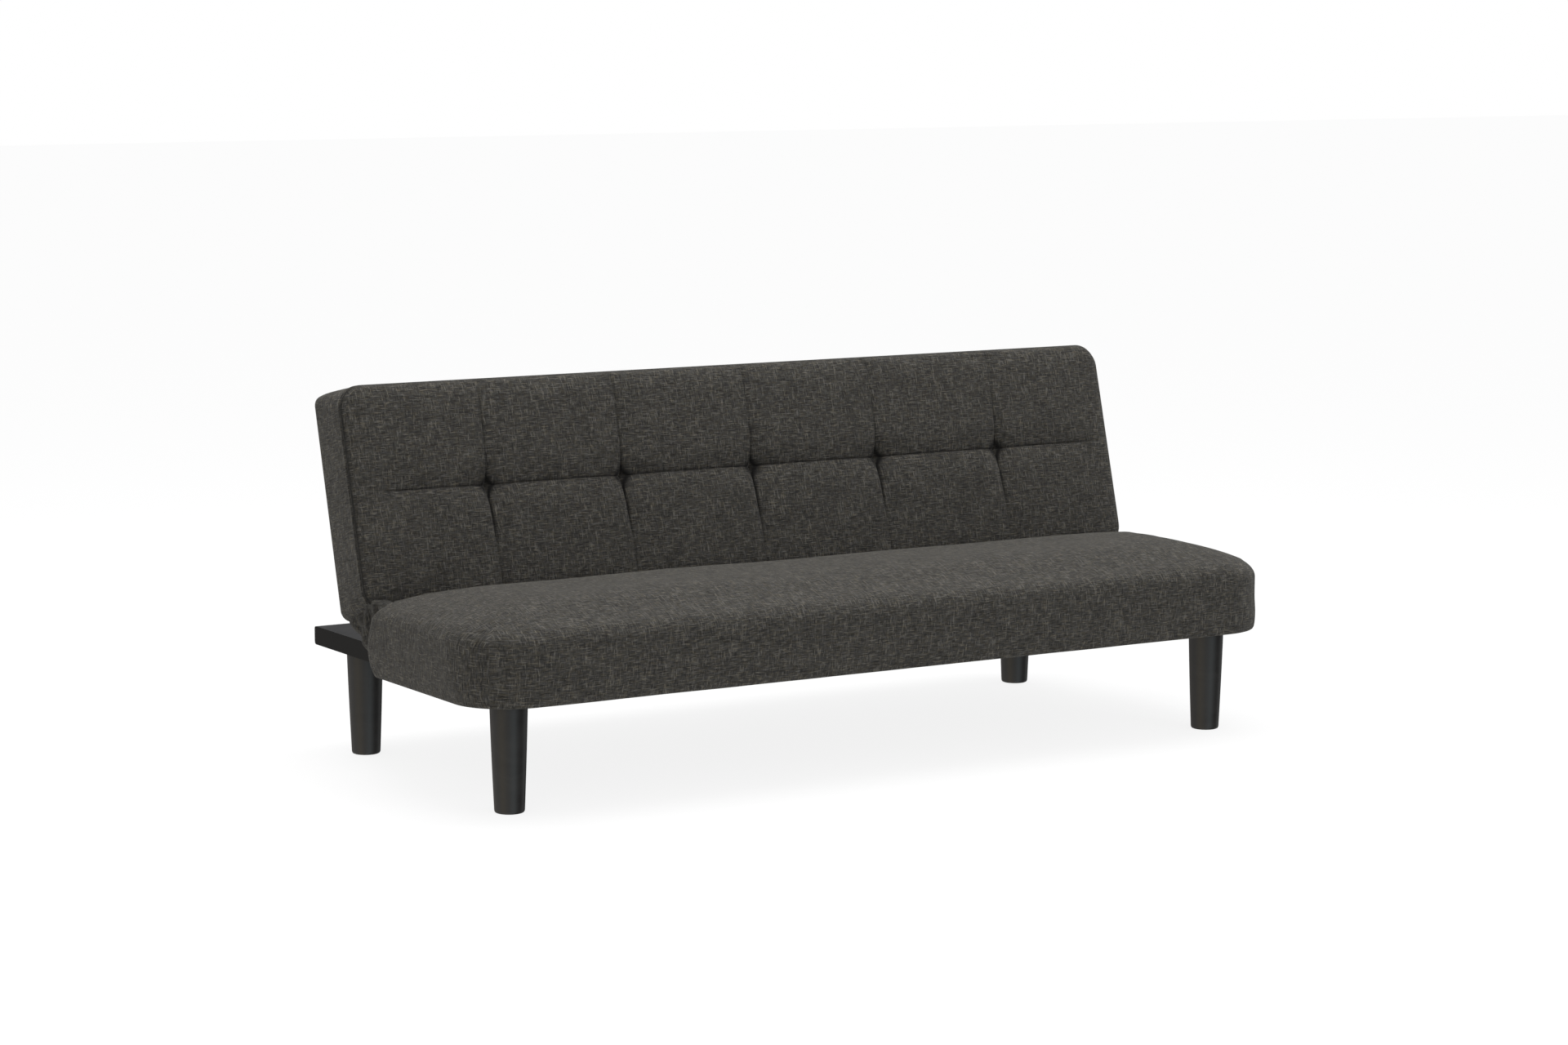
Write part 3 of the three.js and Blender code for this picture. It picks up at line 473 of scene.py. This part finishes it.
def make_back():
    room = 0.0028
    near = [0.0, 0.0009, 0.002, 0.0036, 0.0058, 0.0085, 0.012]  # fine lines beside each seam
    rings = back_rings()
    mouth_us, mouth_vs = mouth_lines(BACK_MOUTH)
    seam_us = [x + s * d for x in TUFT_XS for d in near for s in (-1, 1)]
    seam_vs = [TUFT_HEIGHT + s * d for d in near for s in (-1, 1)]
    us = lines(-BACK_HALF, BACK_HALF, MESH_STEP, sorted(set(seam_us + mouth_us)), room)
    vs = lines(BACK_LOW, BACK_HIGH, MESH_STEP, sorted(set(seam_vs + mouth_vs)), room)
    block = Block(us, vs, rings)
    face_level, face_offset = rings[-1][:2]

    def inset_of(u, v):
        inset = rounded_inset(np.abs(u), BACK_HALF, np.abs(v - block.mid_v), block.half_v, BACK_CORNER)
        return inset + face_offset

    def front(u, v):
        return -face_relief(u, v, inset_of(u, v)) - (face_level - BACK_SEAM)

    def behind(u, v):
        return -mouth_recess(u, v, BACK_MOUTH, BACK_MOUTH_DEPTH)

    # how dark each point is painted along the sewn lines and the welt: partly dark thread, partly painted
    # shade in the grooves and creases, darkest in the creases below the tufts
    def seam_thread_and_shade(points):
        u, v, w = points.T
        face = (w < BACK_SEAM - 0.006) * smooth(0.0, 0.02, inset_of(u, v))
        across, above = from_tufts(u, v)
        fade = 1 - smooth(0.70, 0.80, np.abs(u))
        level = 0.66 * thread(above, 0.0017) * fade
        upright = thread(across, 0.0024) * crease_run(above)
        border = 1.2 * thread(w + 0.0230, 0.0043)
        return np.maximum(border, np.maximum(level, upright) * face)

    return block.build("back_cushion", behind, front, back_place, seam_thread_and_shade)


# ---------------------------------------------------------------- materials
SEAM_THREAD_AND_SHADE_DARKNESS = 0.88  # how far a sewn line darkens the cloth: its dark thread, and painted shade in its groove


def shader(name, colour, roughness, metallic=0.0, **sockets):
    """A principled material; other sockets are named with underscores for spaces."""
    mat = bpy.data.materials.new(name)
    mat.use_nodes = True
    bsdf = mat.node_tree.nodes["Principled BSDF"]
    bsdf.inputs["Base Color"].default_value = (*colour, 1)
    bsdf.inputs["Roughness"].default_value = roughness
    bsdf.inputs["Metallic"].default_value = metallic
    for key, value in sockets.items():
        bsdf.inputs[key.replace("_", " ")].default_value = value
    return mat, mat.node_tree, bsdf


class Nodes:
    """Short ways to make shader nodes."""

    def __init__(self, tree):
        self.tree = tree

    def add(self, kind, **settings):
        node = self.tree.nodes.new(kind)
        for key, value in settings.items():
            setattr(node, key, value)
        return node

    def link(self, source, target):
        self.tree.links.new(source, target)

    def attribute(self, name):
        return self.add("ShaderNodeAttribute", attribute_name=name).outputs["Vector"]

    def place(self):
        return self.add("ShaderNodeTexCoord").outputs["Object"]

    def noise(self, vector, scale, detail=2.0, rough=0.5, shift=0.0, distortion=0.0):
        mapping = self.add("ShaderNodeMapping")
        mapping.inputs["Scale"].default_value = scale
        mapping.inputs["Location"].default_value = (shift, shift * 0.7, shift * 1.3)
        self.link(vector, mapping.inputs["Vector"])
        node = self.add("ShaderNodeTexNoise")
        node.inputs["Scale"].default_value = 1.0
        node.inputs["Detail"].default_value = detail
        node.inputs["Roughness"].default_value = rough
        node.inputs["Distortion"].default_value = distortion
        self.link(mapping.outputs["Vector"], node.inputs["Vector"])
        return node.outputs["Fac"]

    def math(self, operation, a, b=None, c=None, clamp=False):
        node = self.add("ShaderNodeMath", operation=operation, use_clamp=clamp)
        for socket, value in zip(node.inputs, (a, b, c)):
            if value is None:
                continue
            if isinstance(value, (int, float)):
                socket.default_value = value
            else:
                self.link(value, socket)
        return node.outputs["Value"]

    def step(self, value, low, high):
        node = self.add("ShaderNodeMapRange", interpolation_type="SMOOTHSTEP")
        node.inputs["From Min"].default_value = low
        node.inputs["From Max"].default_value = high
        self.link(value, node.inputs["Value"])
        return node.outputs["Result"]

    def ramp(self, value, stops):
        node = self.add("ShaderNodeValToRGB")
        elements = node.color_ramp.elements
        while len(elements) < len(stops):
            elements.new(0.5)
        for element, (position, colour) in zip(elements, stops):
            element.position = position
            element.color = (*colour, 1)
        self.link(value, node.inputs["Fac"])
        return node.outputs["Color"]

    def mix(self, share, a, b, blend="MIX"):
        node = self.add("ShaderNodeMix", data_type="RGBA", blend_type=blend)
        for name, value in (("Factor", share), ("A", a), ("B", b)):
            kind = "VALUE" if name == "Factor" else "RGBA"
            socket = next(s for s in node.inputs if s.name == name and s.enabled and s.type == kind)
            if isinstance(value, (int, float)):
                socket.default_value = value
            elif isinstance(value, tuple):
                socket.default_value = (*value, 1)
            else:
                self.link(value, socket)
        return next(s for s in node.outputs if s.type == "RGBA")

    def bump(self, height, strength, distance, normal=None):
        node = self.add("ShaderNodeBump")
        node.inputs["Strength"].default_value = strength
        node.inputs["Distance"].default_value = distance
        self.link(height, node.inputs["Height"])
        if normal is not None:
            self.link(normal, node.inputs["Normal"])
        return node.outputs["Normal"]


def fabric(name, lightness=1.0):
    """Heathered linen-look weave: light and dark slubs in both directions over a fine grain."""
    mat, tree, bsdf = shader(
        name, (0.045, 0.043, 0.040), 0.92, Sheen_Weight=0.10, Sheen_Roughness=0.45,
        Sheen_Tint=(0.72, 0.70, 0.66, 1), Specular_IOR_Level=0.12,
    )
    n = Nodes(tree)
    cloth = n.attribute("weave")
    light_weft = n.step(n.noise(cloth, (62, 480, 1), 1.0, 0.5, 3.1, 0.3), 0.50, 0.72)
    light_warp = n.step(n.noise(cloth, (480, 68, 1), 1.0, 0.5, 17.3, 0.3), 0.52, 0.74)
    dark_weft = n.step(n.noise(cloth, (66, 520, 1), 1.0, 0.5, 29.0, 0.3), 0.50, 0.70)
    dark_warp = n.step(n.noise(cloth, (520, 70, 1), 1.0, 0.5, 53.0, 0.3), 0.52, 0.72)
    grain = n.noise(cloth, (760, 760, 1), 2.0, 0.6, 41.0)
    mottle = n.noise(cloth, (26, 26, 1), 2.0, 0.5, 7.7)
    light = n.math("MAXIMUM", light_weft, light_warp)
    dark = n.math("MAXIMUM", dark_weft, dark_warp)
    value = n.math("MULTIPLY_ADD", light, 0.36, 0.30)
    value = n.math("MULTIPLY_ADD", dark, -0.27, value)
    value = n.math("MULTIPLY_ADD", n.math("SUBTRACT", grain, 0.5), 0.40, value)
    value = n.math("MULTIPLY_ADD", n.math("SUBTRACT", mottle, 0.5), 0.16, value)
    # a lightness under 1 gives a darker copy of the weave, which the gap's cloth uses as painted shade
    k = lightness
    tone = n.ramp(value, [
        (0.02, (0.0164 * k, 0.0156 * k, 0.0144 * k)),
        (0.30, (0.0395 * k, 0.0376 * k, 0.0334 * k)),
        (0.60, (0.0835 * k, 0.0785 * k, 0.0680 * k)),
        (0.90, (0.170 * k, 0.157 * k, 0.133 * k)),
    ])
    tint = n.noise(cloth, (90, 240, 1), 2.0, 0.5, 63.0)
    hue = n.ramp(tint, [(0.34, (0.97, 0.99, 1.06)), (0.5, (1.0, 1.0, 1.0)), (0.66, (1.05, 1.0, 0.90))])
    colour = n.mix(1.0, tone, hue, "MULTIPLY")
    # the seam attribute mixes the cloth towards near black: dark thread, and painted shade in the sewn
    # grooves
    seam = n.add("ShaderNodeAttribute", attribute_name="seam").outputs["Fac"]
    colour = n.mix(n.math("MULTIPLY", seam, SEAM_THREAD_AND_SHADE_DARKNESS), colour, (0.006, 0.0058, 0.0055))
    n.link(colour, bsdf.inputs["Base Color"])
    n.link(n.math("MULTIPLY_ADD", grain, 0.14, 0.84), bsdf.inputs["Roughness"])
    threads = n.math("MULTIPLY_ADD", grain, 0.6, n.math("SUBTRACT", light, n.math("MULTIPLY", dark, 0.6)))
    n.link(n.bump(threads, 0.5, 0.0009), bsdf.inputs["Normal"])
    return mat


def plain_cloth(name, colour, scale):
    """Thin non-woven black cloth, with fibres and a fine bump."""
    contrast = 0.35
    mat, tree, bsdf = shader(name, colour, 0.9, Specular_IOR_Level=0.25, Sheen_Weight=0.1)
    n = Nodes(tree)
    place = n.place()
    fibre = n.noise(place, (scale, scale, scale), 6.0, 0.7, 2.0, 1.2)
    cloud = n.noise(place, (9, 9, 9), 2.0, 0.5, 5.0)
    value = n.math("MULTIPLY_ADD", cloud, 0.4, n.math("MULTIPLY", fibre, 0.8))
    dark = tuple(c * (1 - contrast) for c in colour)
    light = tuple(min(1, c * (1 + 2 * contrast)) for c in colour)
    n.link(n.ramp(value, [(0.35, dark), (0.75, light)]), bsdf.inputs["Base Color"])
    n.link(n.bump(fibre, 0.4, 0.0006), bsdf.inputs["Normal"])
    return mat


def wood(name):
    """Sawn softwood, with its grain along x."""
    mat, tree, bsdf = shader(name, (0.42, 0.28, 0.15), 0.7, Specular_IOR_Level=0.3)
    n = Nodes(tree)
    place = n.place()
    grain = n.noise(place, (6, 90, 90), 4.0, 0.6, 1.0, 0.6)
    pores = n.noise(place, (40, 700, 700), 2.0, 0.5, 9.0)
    value = n.math("MULTIPLY_ADD", pores, 0.3, n.math("MULTIPLY", grain, 0.8))
    tone = n.ramp(value, [
        (0.3, (0.30, 0.185, 0.09)), (0.55, (0.45, 0.30, 0.165)), (0.75, (0.58, 0.42, 0.25)),
    ])
    n.link(tone, bsdf.inputs["Base Color"])
    n.link(n.bump(value, 0.3, 0.0006), bsdf.inputs["Normal"])
    return mat


def foam(name):
    """Open-celled upholstery foam."""
    mat, tree, bsdf = shader(name, (0.62, 0.55, 0.36), 0.95, Specular_IOR_Level=0.1)
    n = Nodes(tree)
    cells = n.noise(n.place(), (900, 900, 900), 3.0, 0.6, 4.0)
    n.link(n.ramp(cells, [(0.3, (0.48, 0.42, 0.27)), (0.7, (0.70, 0.63, 0.44))]), bsdf.inputs["Base Color"])
    n.link(n.bump(cells, 0.6, 0.001), bsdf.inputs["Normal"])
    return mat


def webbing(name):
    """Elastic strap with a ribbed weave."""
    mat, tree, bsdf = shader(name, (0.09, 0.085, 0.075), 0.85, Specular_IOR_Level=0.3)
    n = Nodes(tree)
    place = n.place()
    wave = n.add("ShaderNodeTexWave", wave_type="BANDS", bands_direction="X")
    wave.inputs["Scale"].default_value = 90
    wave.inputs["Distortion"].default_value = 0.4
    n.link(place, wave.inputs["Vector"])
    fuzz = n.noise(place, (600, 600, 600), 3.0, 0.6, 6.0)
    value = n.math("MULTIPLY_ADD", fuzz, 0.5, n.math("MULTIPLY", wave.outputs["Fac"], 0.5))
    tone = n.ramp(value, [(0.2, (0.035, 0.033, 0.030)), (0.8, (0.16, 0.15, 0.13))])
    n.link(tone, bsdf.inputs["Base Color"])
    n.link(n.bump(value, 0.5, 0.0008), bsdf.inputs["Normal"])
    return mat


def satin(name, colour, roughness, orange_peel, rub, gloss):
    """Painted or moulded black surface: faint mottling, fine texture and rubbed patches."""
    mat, tree, bsdf = shader(name, colour, roughness, Specular_IOR_Level=gloss)
    n = Nodes(tree)
    place = n.place()
    peel = n.noise(place, (orange_peel,) * 3, 3.0, 0.55, 8.0)
    smudge = n.noise(place, (14, 14, 22), 4.0, 0.6, 2.4, 0.8)
    dark = tuple(c * 0.8 for c in colour)
    light = tuple(c * 1.35 for c in colour)
    n.link(n.ramp(smudge, [(0.35, dark), (0.7, light)]), bsdf.inputs["Base Color"])
    n.link(n.math("MULTIPLY_ADD", smudge, rub, roughness - rub * 0.5), bsdf.inputs["Roughness"])
    n.link(n.bump(peel, 0.18, 0.0005), bsdf.inputs["Normal"])
    return mat


def steel(name, colour, roughness, metallic=1.0):
    """Plated or blackened steel, lightly stained and scratched."""
    mat, tree, bsdf = shader(name, colour, roughness, metallic)
    n = Nodes(tree)
    place = n.place()
    scratch = n.noise(place, (30, 900, 900), 3.0, 0.6, 3.3)
    stain = n.noise(place, (60, 60, 60), 4.0, 0.6, 1.1)
    dark = tuple(c * 0.7 for c in colour)
    light = tuple(min(1, c * 1.2) for c in colour)
    n.link(n.ramp(stain, [(0.3, dark), (0.7, light)]), bsdf.inputs["Base Color"])
    n.link(n.math("MULTIPLY_ADD", scratch, 0.25, roughness - 0.12), bsdf.inputs["Roughness"])
    n.link(n.bump(scratch, 0.15, 0.0003), bsdf.inputs["Normal"])
    return mat


MATERIALS = {
    "seat_fabric": fabric("woven_seat"),
    "back_fabric": fabric("woven_back"),
    # the gap's cloth is the same weave at 0.72 of its lightness: painted shade, for the gap lying in shadow
    # between seat and back
    "gap_fabric": fabric("woven_gap_shaded", 0.72),
    "black_cloth": plain_cloth("backing_cloth", (0.012, 0.012, 0.012), 420),
    "webbing": webbing("elastic_webbing"),
    "foam": foam("cut_foam"),
    "timber": wood("pine"),
    "board_paint": satin("painted_board", (0.0030, 0.0030, 0.0030), 0.46, 260, 0.16, 0.10),
    "leg_plastic": satin("moulded_leg", (0.0120, 0.0115, 0.0110), 0.30, 600, 0.10, 0.32),
    "hinge_steel": steel("black_steel", (0.030, 0.030, 0.032), 0.50, 0.6),
    "zinc_steel": steel("zinc_plate", (0.62, 0.63, 0.65), 0.33),
}


def dress_frame():
    """Each CAD node keeps its shape and takes the finish of its slot."""
    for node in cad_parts.values():
        for slot in node.material_slots:
            slot.material = MATERIALS[slot.material.name]


def finish_piece(obj, slot):
    obj.data.materials.clear()
    obj.data.materials.append(MATERIALS[slot])


# ---------------------------------------------------------------- filling
def swelling(obj, held):
    """Simulates the cover as cloth blown out by its filling, on a coarse copy, and gives the
    copy's points before it and how far each one moved."""
    copy = add_object(obj.name + "_sim", obj.data.copy())
    remesh = copy.modifiers.new("remesh", "REMESH")
    remesh.mode = "VOXEL"
    remesh.voxel_size = SIM_STEP
    bake_modifiers(copy)
    before = vectors(copy.data, "co")
    group = copy.vertex_groups.new(name="held")
    group.add(np.flatnonzero(held(before)).tolist(), 1.0, "REPLACE")
    cloth = copy.modifiers.new("cloth", "CLOTH")
    cloth.settings.use_pressure = True
    cloth.settings.uniform_pressure_force = SIM_PRESSURE
    cloth.settings.effector_weights.gravity = 0
    cloth.settings.vertex_group_mass = "held"
    for frame_number in range(1, SIM_FRAMES + 1):
        bpy.context.scene.frame_set(frame_number)
    bake_modifiers(copy)
    moved = vectors(copy.data, "co") - before
    bpy.data.objects.remove(copy)
    bpy.context.scene.frame_set(1)
    return before, moved


def carried(points, before, moved):
    """How far each point moves with the simulated points nearest to it."""
    tree = kdtree.KDTree(len(before))
    for i, point in enumerate(before):
        tree.insert(point, i)
    tree.balance()
    push = np.empty_like(points)
    for i, point in enumerate(points):
        near = tree.find_n(point, 4)
        weights = np.array([1 / (distance + 0.001) for _, _, distance in near])
        push[i] = weights @ moved[[index for _, index, _ in near]] / weights.sum()
    return push


def fill_out(obj, held):
    """Swells the cushion as its simulated cover does, less the mean swelling, so that only
    the extra fullness away from held places stays."""
    points, normals = vectors(obj.data, "co"), vectors(obj.data, "normal")
    push = carried(points, *swelling(obj, held))
    out = np.maximum(np.einsum("ij,ij->i", push, normals), 0)
    mean = out[~held(points)].mean()
    fuller = SIM_CAP * np.tanh((out - mean * np.tanh(out / mean)) / SIM_CAP)
    filled = points + normals * fuller[:, None]
    obj.data.vertices.foreach_set("co", filled.astype(np.float32).ravel())
    obj.data.update()


def seat_held(points):
    """The seat's cover is stapled along its bottom edge."""
    return points[:, 2] < SEAT_BOTTOM + 0.020


def back_held(points):
    """The back's cover is held round its rear, and sewn down along its seams in front."""
    y, z = points[:, 1] - PIVOT[0], points[:, 2] - PIVOT[1]
    deep = y * math.cos(LEAN) - z * math.sin(LEAN)
    up = y * math.sin(LEAN) + z * math.cos(LEAN)
    across, above = from_tufts(points[:, 0], up)
    sewn = (deep < 0) & ((np.abs(above) < SIM_STEP) | (across < SIM_STEP))
    return (deep > 0.060) | sewn


# ---------------------------------------------------------------- gap cloth
def between(t, line):
    """Points (y, z) at shares t along a polyline with evenly shared knots, rounded off."""
    knots = np.linspace(0, 1, len(line))
    rows = [[p[i] for p in line] for i in (0, 1)]
    soft = [[np.interp(np.clip(t + d, 0, 1), knots, row) for d in (-0.06, 0, 0.06)] for row in rows]
    return np.array([(before + here + after) / 3 for before, here, after in soft])


def gap_grid():
    """The cloth's grid: x along the sofa, t from seat to back, and how far into the end's lid
    each point lies, 0 to 1."""
    lid_rows = 14
    inner = np.linspace(0, GAP_FINE, 230)[:-1]
    tip = np.linspace(GAP_FINE, GAP_HALF, 60)
    lid = np.linspace(GAP_HALF, GAP_HALF - GAP_LID, lid_rows)[1:]
    half = np.concatenate([inner, tip, lid])
    covered = np.concatenate([np.zeros(len(inner) + len(tip)), np.linspace(0, 1, lid_rows)[1:]])
    t, x = np.meshgrid(np.linspace(0, 1, 56), np.concatenate([-half[:0:-1], half]))
    lidded = np.concatenate([covered[:0:-1], covered])[:, None] * np.ones_like(t)
    return x, t, lidded


def gap_sag(x, t, lidded):
    """The cloth's height and place without its folds, how far each point belongs to the
    ends, and how far it has closed upwards there."""
    tucked = lidded > 0
    ends = np.where(tucked, 1.0, smooth(0.767, 0.777, np.abs(x)))
    runner = smooth(0.665, 0.682, np.abs(x))
    inside = between(t, GAP_MIDDLE) * (1 - runner) + between(t, GAP_RUNNER) * runner
    y, z = inside * (1 - ends) + between(t, GAP_OUTER) * ends
    # the ends close upwards, like the end of a hammock, and the lid bulges, then dips
    over = np.where(tucked, 1.0, np.clip((np.abs(x) - (GAP_HALF - GAP_TURN)) / GAP_TURN, 0, 1))
    lift = 1 - np.sqrt(np.clip(1 - over ** 2, 0, 1))
    close_y, close_z = between(t, GAP_CLOSING)
    bulge = 0.0015 * np.sin(math.pi * np.clip(lidded * 0.8, 0, 1))
    y = y + (close_y - y) * lift
    z = z + (close_z - z) * lift + bulge - 0.002 * lidded ** 3
    return y, z, ends, lift


def gap_folds(x, y, z, t, ends, lift):
    """Adds the folds: long ones across the gap, and a fan of gathers at the ends."""
    fold = ripples(12, 31, 0.050)(x * 0.55 + t * 0.05, t * 0.16)
    crease = np.abs(ripples(6, 77, 0.060)(x * 0.8, t * 0.16 + x * 0.4))
    loose = np.sin(math.pi * t) * (1 - ends)
    push = 0.0032 * fold * loose + 0.004 * (crease - 0.6) * loose
    z = z + push * np.cos(math.pi * (t - 0.5))
    y = y + push * np.sin(math.pi * (t - 0.5))
    fan = np.sin(math.tau * (4.3 * t + 0.9 * lift) + 0.6)
    fan += 0.6 * np.sin(math.tau * (7.1 * t - 1.3 * lift) + 2.0)
    fan = np.sign(fan) * np.abs(fan) ** 0.75
    held = np.sin(math.pi * np.clip(t, 0, 1)) ** 0.5
    fanned = smooth(0.0, 0.25, lift) * (1 - 0.6 * smooth(0.8, 1.0, lift))
    x = x + np.sign(x) * 0.0036 * fan * held * fanned
    y = y + 0.0030 * fan * held * ends * (1 - lift)
    return x, y, z


def make_gap_cloth():
    x, t, lidded = gap_grid()
    y, z, ends, lift = gap_sag(x, t, lidded)
    x, y, z = gap_folds(x, y, z, t, ends, lift)
    quads = grid_quads(np.arange(x.size).reshape(x.shape))
    mesh = bpy.data.meshes.new("gap_sheet")
    mesh.from_pydata(np.stack([x, y, z], -1).reshape(-1, 3).tolist(), [], quads.tolist())
    unrolled = x + np.sign(x) * (lift * 0.08 + 2 * GAP_LID * lidded)
    flat = np.stack([unrolled, t * 0.17, np.full_like(x, 21.0)], -1).reshape(-1, 3)
    set_weave(mesh, flat[quads])
    mesh.shade_smooth()
    obj = add_object("gap_sheet", mesh)
    thick = obj.modifiers.new("thickness", "SOLIDIFY")
    thick.thickness = GAP_THICKNESS
    thick.offset = 0
    bake_modifiers(obj)
    return obj


# ---------------------------------------------------------------- legs
def turned(name, cx, cy, profile):
    """A solid of revolution about an upright axis; profile is (radius, height), and starts
    and ends on the axis."""
    points, faces, rings = [], [], []
    for radius, z in profile:
        count = LEG_SIDES if radius > 0 else 1
        rings.append(range(len(points), len(points) + count))
        for k in range(count):
            angle = math.tau * k / LEG_SIDES
            points.append((cx + radius * math.cos(angle), cy + radius * math.sin(angle), z))
    for a, b in zip(rings, rings[1:]):
        for k in range(LEG_SIDES):
            m = (k + 1) % LEG_SIDES
            if len(a) == 1:
                faces.append((a[0], b[m], b[k]))
            elif len(b) == 1:
                faces.append((a[k], a[m], b[0]))
            else:
                faces.append((a[k], a[m], b[m], b[k]))
    mesh = bpy.data.meshes.new(name)
    mesh.from_pydata(points, [], faces)
    mesh.shade_smooth()
    return add_object(name, mesh)


def leg_profile(height):
    """Eased at the floor, tapered with a slight swell, and eased at the top."""
    foot_edge, top_edge = LEG_FOOT_EDGE[-1][1], LEG_TOP_EDGE[0][1]
    profile = [(0, 0.0)] + [(LEG_FOOT - inset, z) for inset, z in LEG_FOOT_EDGE]
    for i in range(1, 12):
        share = i / 12
        radius = LEG_FOOT + (LEG_TOP - LEG_FOOT) * share + LEG_SWELL * math.sin(math.pi * share)
        profile.append((radius, foot_edge + (height - 0.008) * share))
    profile += [(LEG_TOP - inset, height - down) for inset, down in LEG_TOP_EDGE]
    return profile + [(0, height)]


def make_leg(node):
    low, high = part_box(node)
    obj = turned(node + "_turned", (low.x + high.x) / 2, (low.y + high.y) / 2, leg_profile(high.z))
    finish_piece(obj, "leg_plastic")
    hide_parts(node)
    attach(obj, "base")


# ---------------------------------------------------------------- camera and light
def make_camera():
    data = bpy.data.cameras.new("view")
    data.lens = 88.57
    data.sensor_width = 36
    cam = bpy.data.objects.new("view", data)
    bpy.context.scene.collection.objects.link(cam)
    cam.location = (-3.6618, -5.9677, 1.3451)
    cam.rotation_euler = (math.pi / 2 - math.radians(7.633), 0, -math.radians(31.45))
    bpy.context.scene.camera = cam


def area_light(name, where, target, size, power, colour=(1, 1, 1)):
    data = bpy.data.lights.new(name, "AREA")
    data.shape = "RECTANGLE"
    data.size, data.size_y = size
    data.energy = power
    data.color = colour
    lamp = bpy.data.objects.new(name, data)
    bpy.context.scene.collection.objects.link(lamp)
    lamp.location = where
    lamp.rotation_euler = (Vector(target) - Vector(where)).to_track_quat("-Z", "Y").to_euler()


def softboxes(n):
    """The studio as a polished surface sees it below the horizon: a warm box to the left, a
    cool one to the right, and dark walls between and behind."""
    direction = n.add("ShaderNodeTexCoord").outputs["Generated"]

    def along(axis):
        dot = n.add("ShaderNodeVectorMath", operation="DOT_PRODUCT")
        dot.inputs[1].default_value = axis
        n.link(direction, dot.inputs[0])
        return dot.outputs["Value"]

    turn = n.math("ARCTAN2", along((0.853, -0.522, 0)), along((-0.522, -0.853, 0)))
    share = n.math("MULTIPLY_ADD", turn, 1 / math.tau, 0.5)
    return n.ramp(share, [
        (0.00, (0.05, 0.05, 0.05)), (0.13, (0.40, 0.38, 0.36)), (0.27, (0.90, 0.88, 0.84)),
        (0.375, (1.45, 1.30, 1.05)), (0.50, (0.95, 0.95, 0.93)), (0.60, (1.30, 1.45, 1.50)),
        (0.70, (0.25, 0.25, 0.25)), (0.77, (0.15, 0.15, 0.15)), (0.84, (0.45, 0.46, 0.46)),
        (0.92, (0.05, 0.05, 0.05)), (1.00, (0.05, 0.05, 0.05)),
    ])


def make_floor():
    """A white floor that glows almost by itself, so that it meets the backdrop unseen."""
    size = 30.0
    mesh = bpy.data.meshes.new("studio_floor")
    corners = [(-size, -size, 0), (size, -size, 0), (size, size, 0), (-size, size, 0)]
    mesh.from_pydata(corners, [], [(0, 1, 2, 3)])
    floor = add_object("studio_floor", mesh)
    mat, _, bsdf = shader("studio_white", (0.14, 0.14, 0.14), 0.9, Specular_IOR_Level=0.0)
    bsdf.inputs["Emission Color"].default_value = (1, 1, 1, 1)
    bsdf.inputs["Emission Strength"].default_value = 0.86
    mesh.materials.append(mat)
    floor.visible_glossy = False


def make_room():
    """A room brighter overhead than at the horizon, seen by the camera as plain white."""
    world = bpy.data.worlds.new("studio")
    bpy.context.scene.world = world
    world.use_nodes = True
    n = Nodes(world.node_tree)
    up = n.add("ShaderNodeSeparateXYZ")
    n.link(n.add("ShaderNodeTexCoord").outputs["Generated"], up.inputs["Vector"])
    room = n.ramp(up.outputs["Z"], [
        (0.0, (0.42, 0.42, 0.43)), (0.35, (0.62, 0.62, 0.63)), (1.0, (1.0, 1.0, 1.0)),
    ])
    light_path = n.add("ShaderNodeLightPath")
    walls = n.mix(n.step(up.outputs["Z"], -0.02, 0.06), softboxes(n), room)
    lit = n.mix(light_path.outputs["Is Glossy Ray"], room, walls)
    background = world.node_tree.nodes["Background"]
    n.link(n.mix(light_path.outputs["Is Camera Ray"], lit, (1.0, 1.0, 1.0)), background.inputs["Color"])
    background.inputs["Strength"].default_value = 1.0


def make_lights():
    middle = (0, 0, 0.3)
    area_light("top", (0.1, 0.1, 3.5), (0, -0.1, 0.3), (3.6, 2.4), 105)
    area_light("left_strip", (-3.2, -2.6, 1.9), middle, (0.7, 2.4), 14, (1.0, 0.95, 0.88))
    area_light("right_strip", (1.9, -3.4, 1.7), middle, (0.7, 2.2), 16, (0.90, 0.95, 1.0))


def make_stage():
    make_floor()
    make_room()
    make_lights()
    bpy.context.scene.view_settings.view_transform = "Standard"
    bpy.context.scene.view_settings.look = "None"


# ---------------------------------------------------------------- build
make_camera()
make_stage()
dress_frame()

seat = make_seat()
fill_out(seat, seat_held)
finish_piece(seat, "seat_fabric")
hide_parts("seat_cover", "seat_foam")
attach(seat, "base")

back = make_back()
fill_out(back, back_held)
finish_piece(back, "back_fabric")
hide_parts("back_cover", "back_foam")
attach(back, "back")

gap = make_gap_cloth()
finish_piece(gap, "gap_fabric")
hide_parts("gap_cloth")
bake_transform(gap)

for leg in ("leg_front_left", "leg_front_right", "leg_rear_left", "leg_rear_right"):
    make_leg(leg)
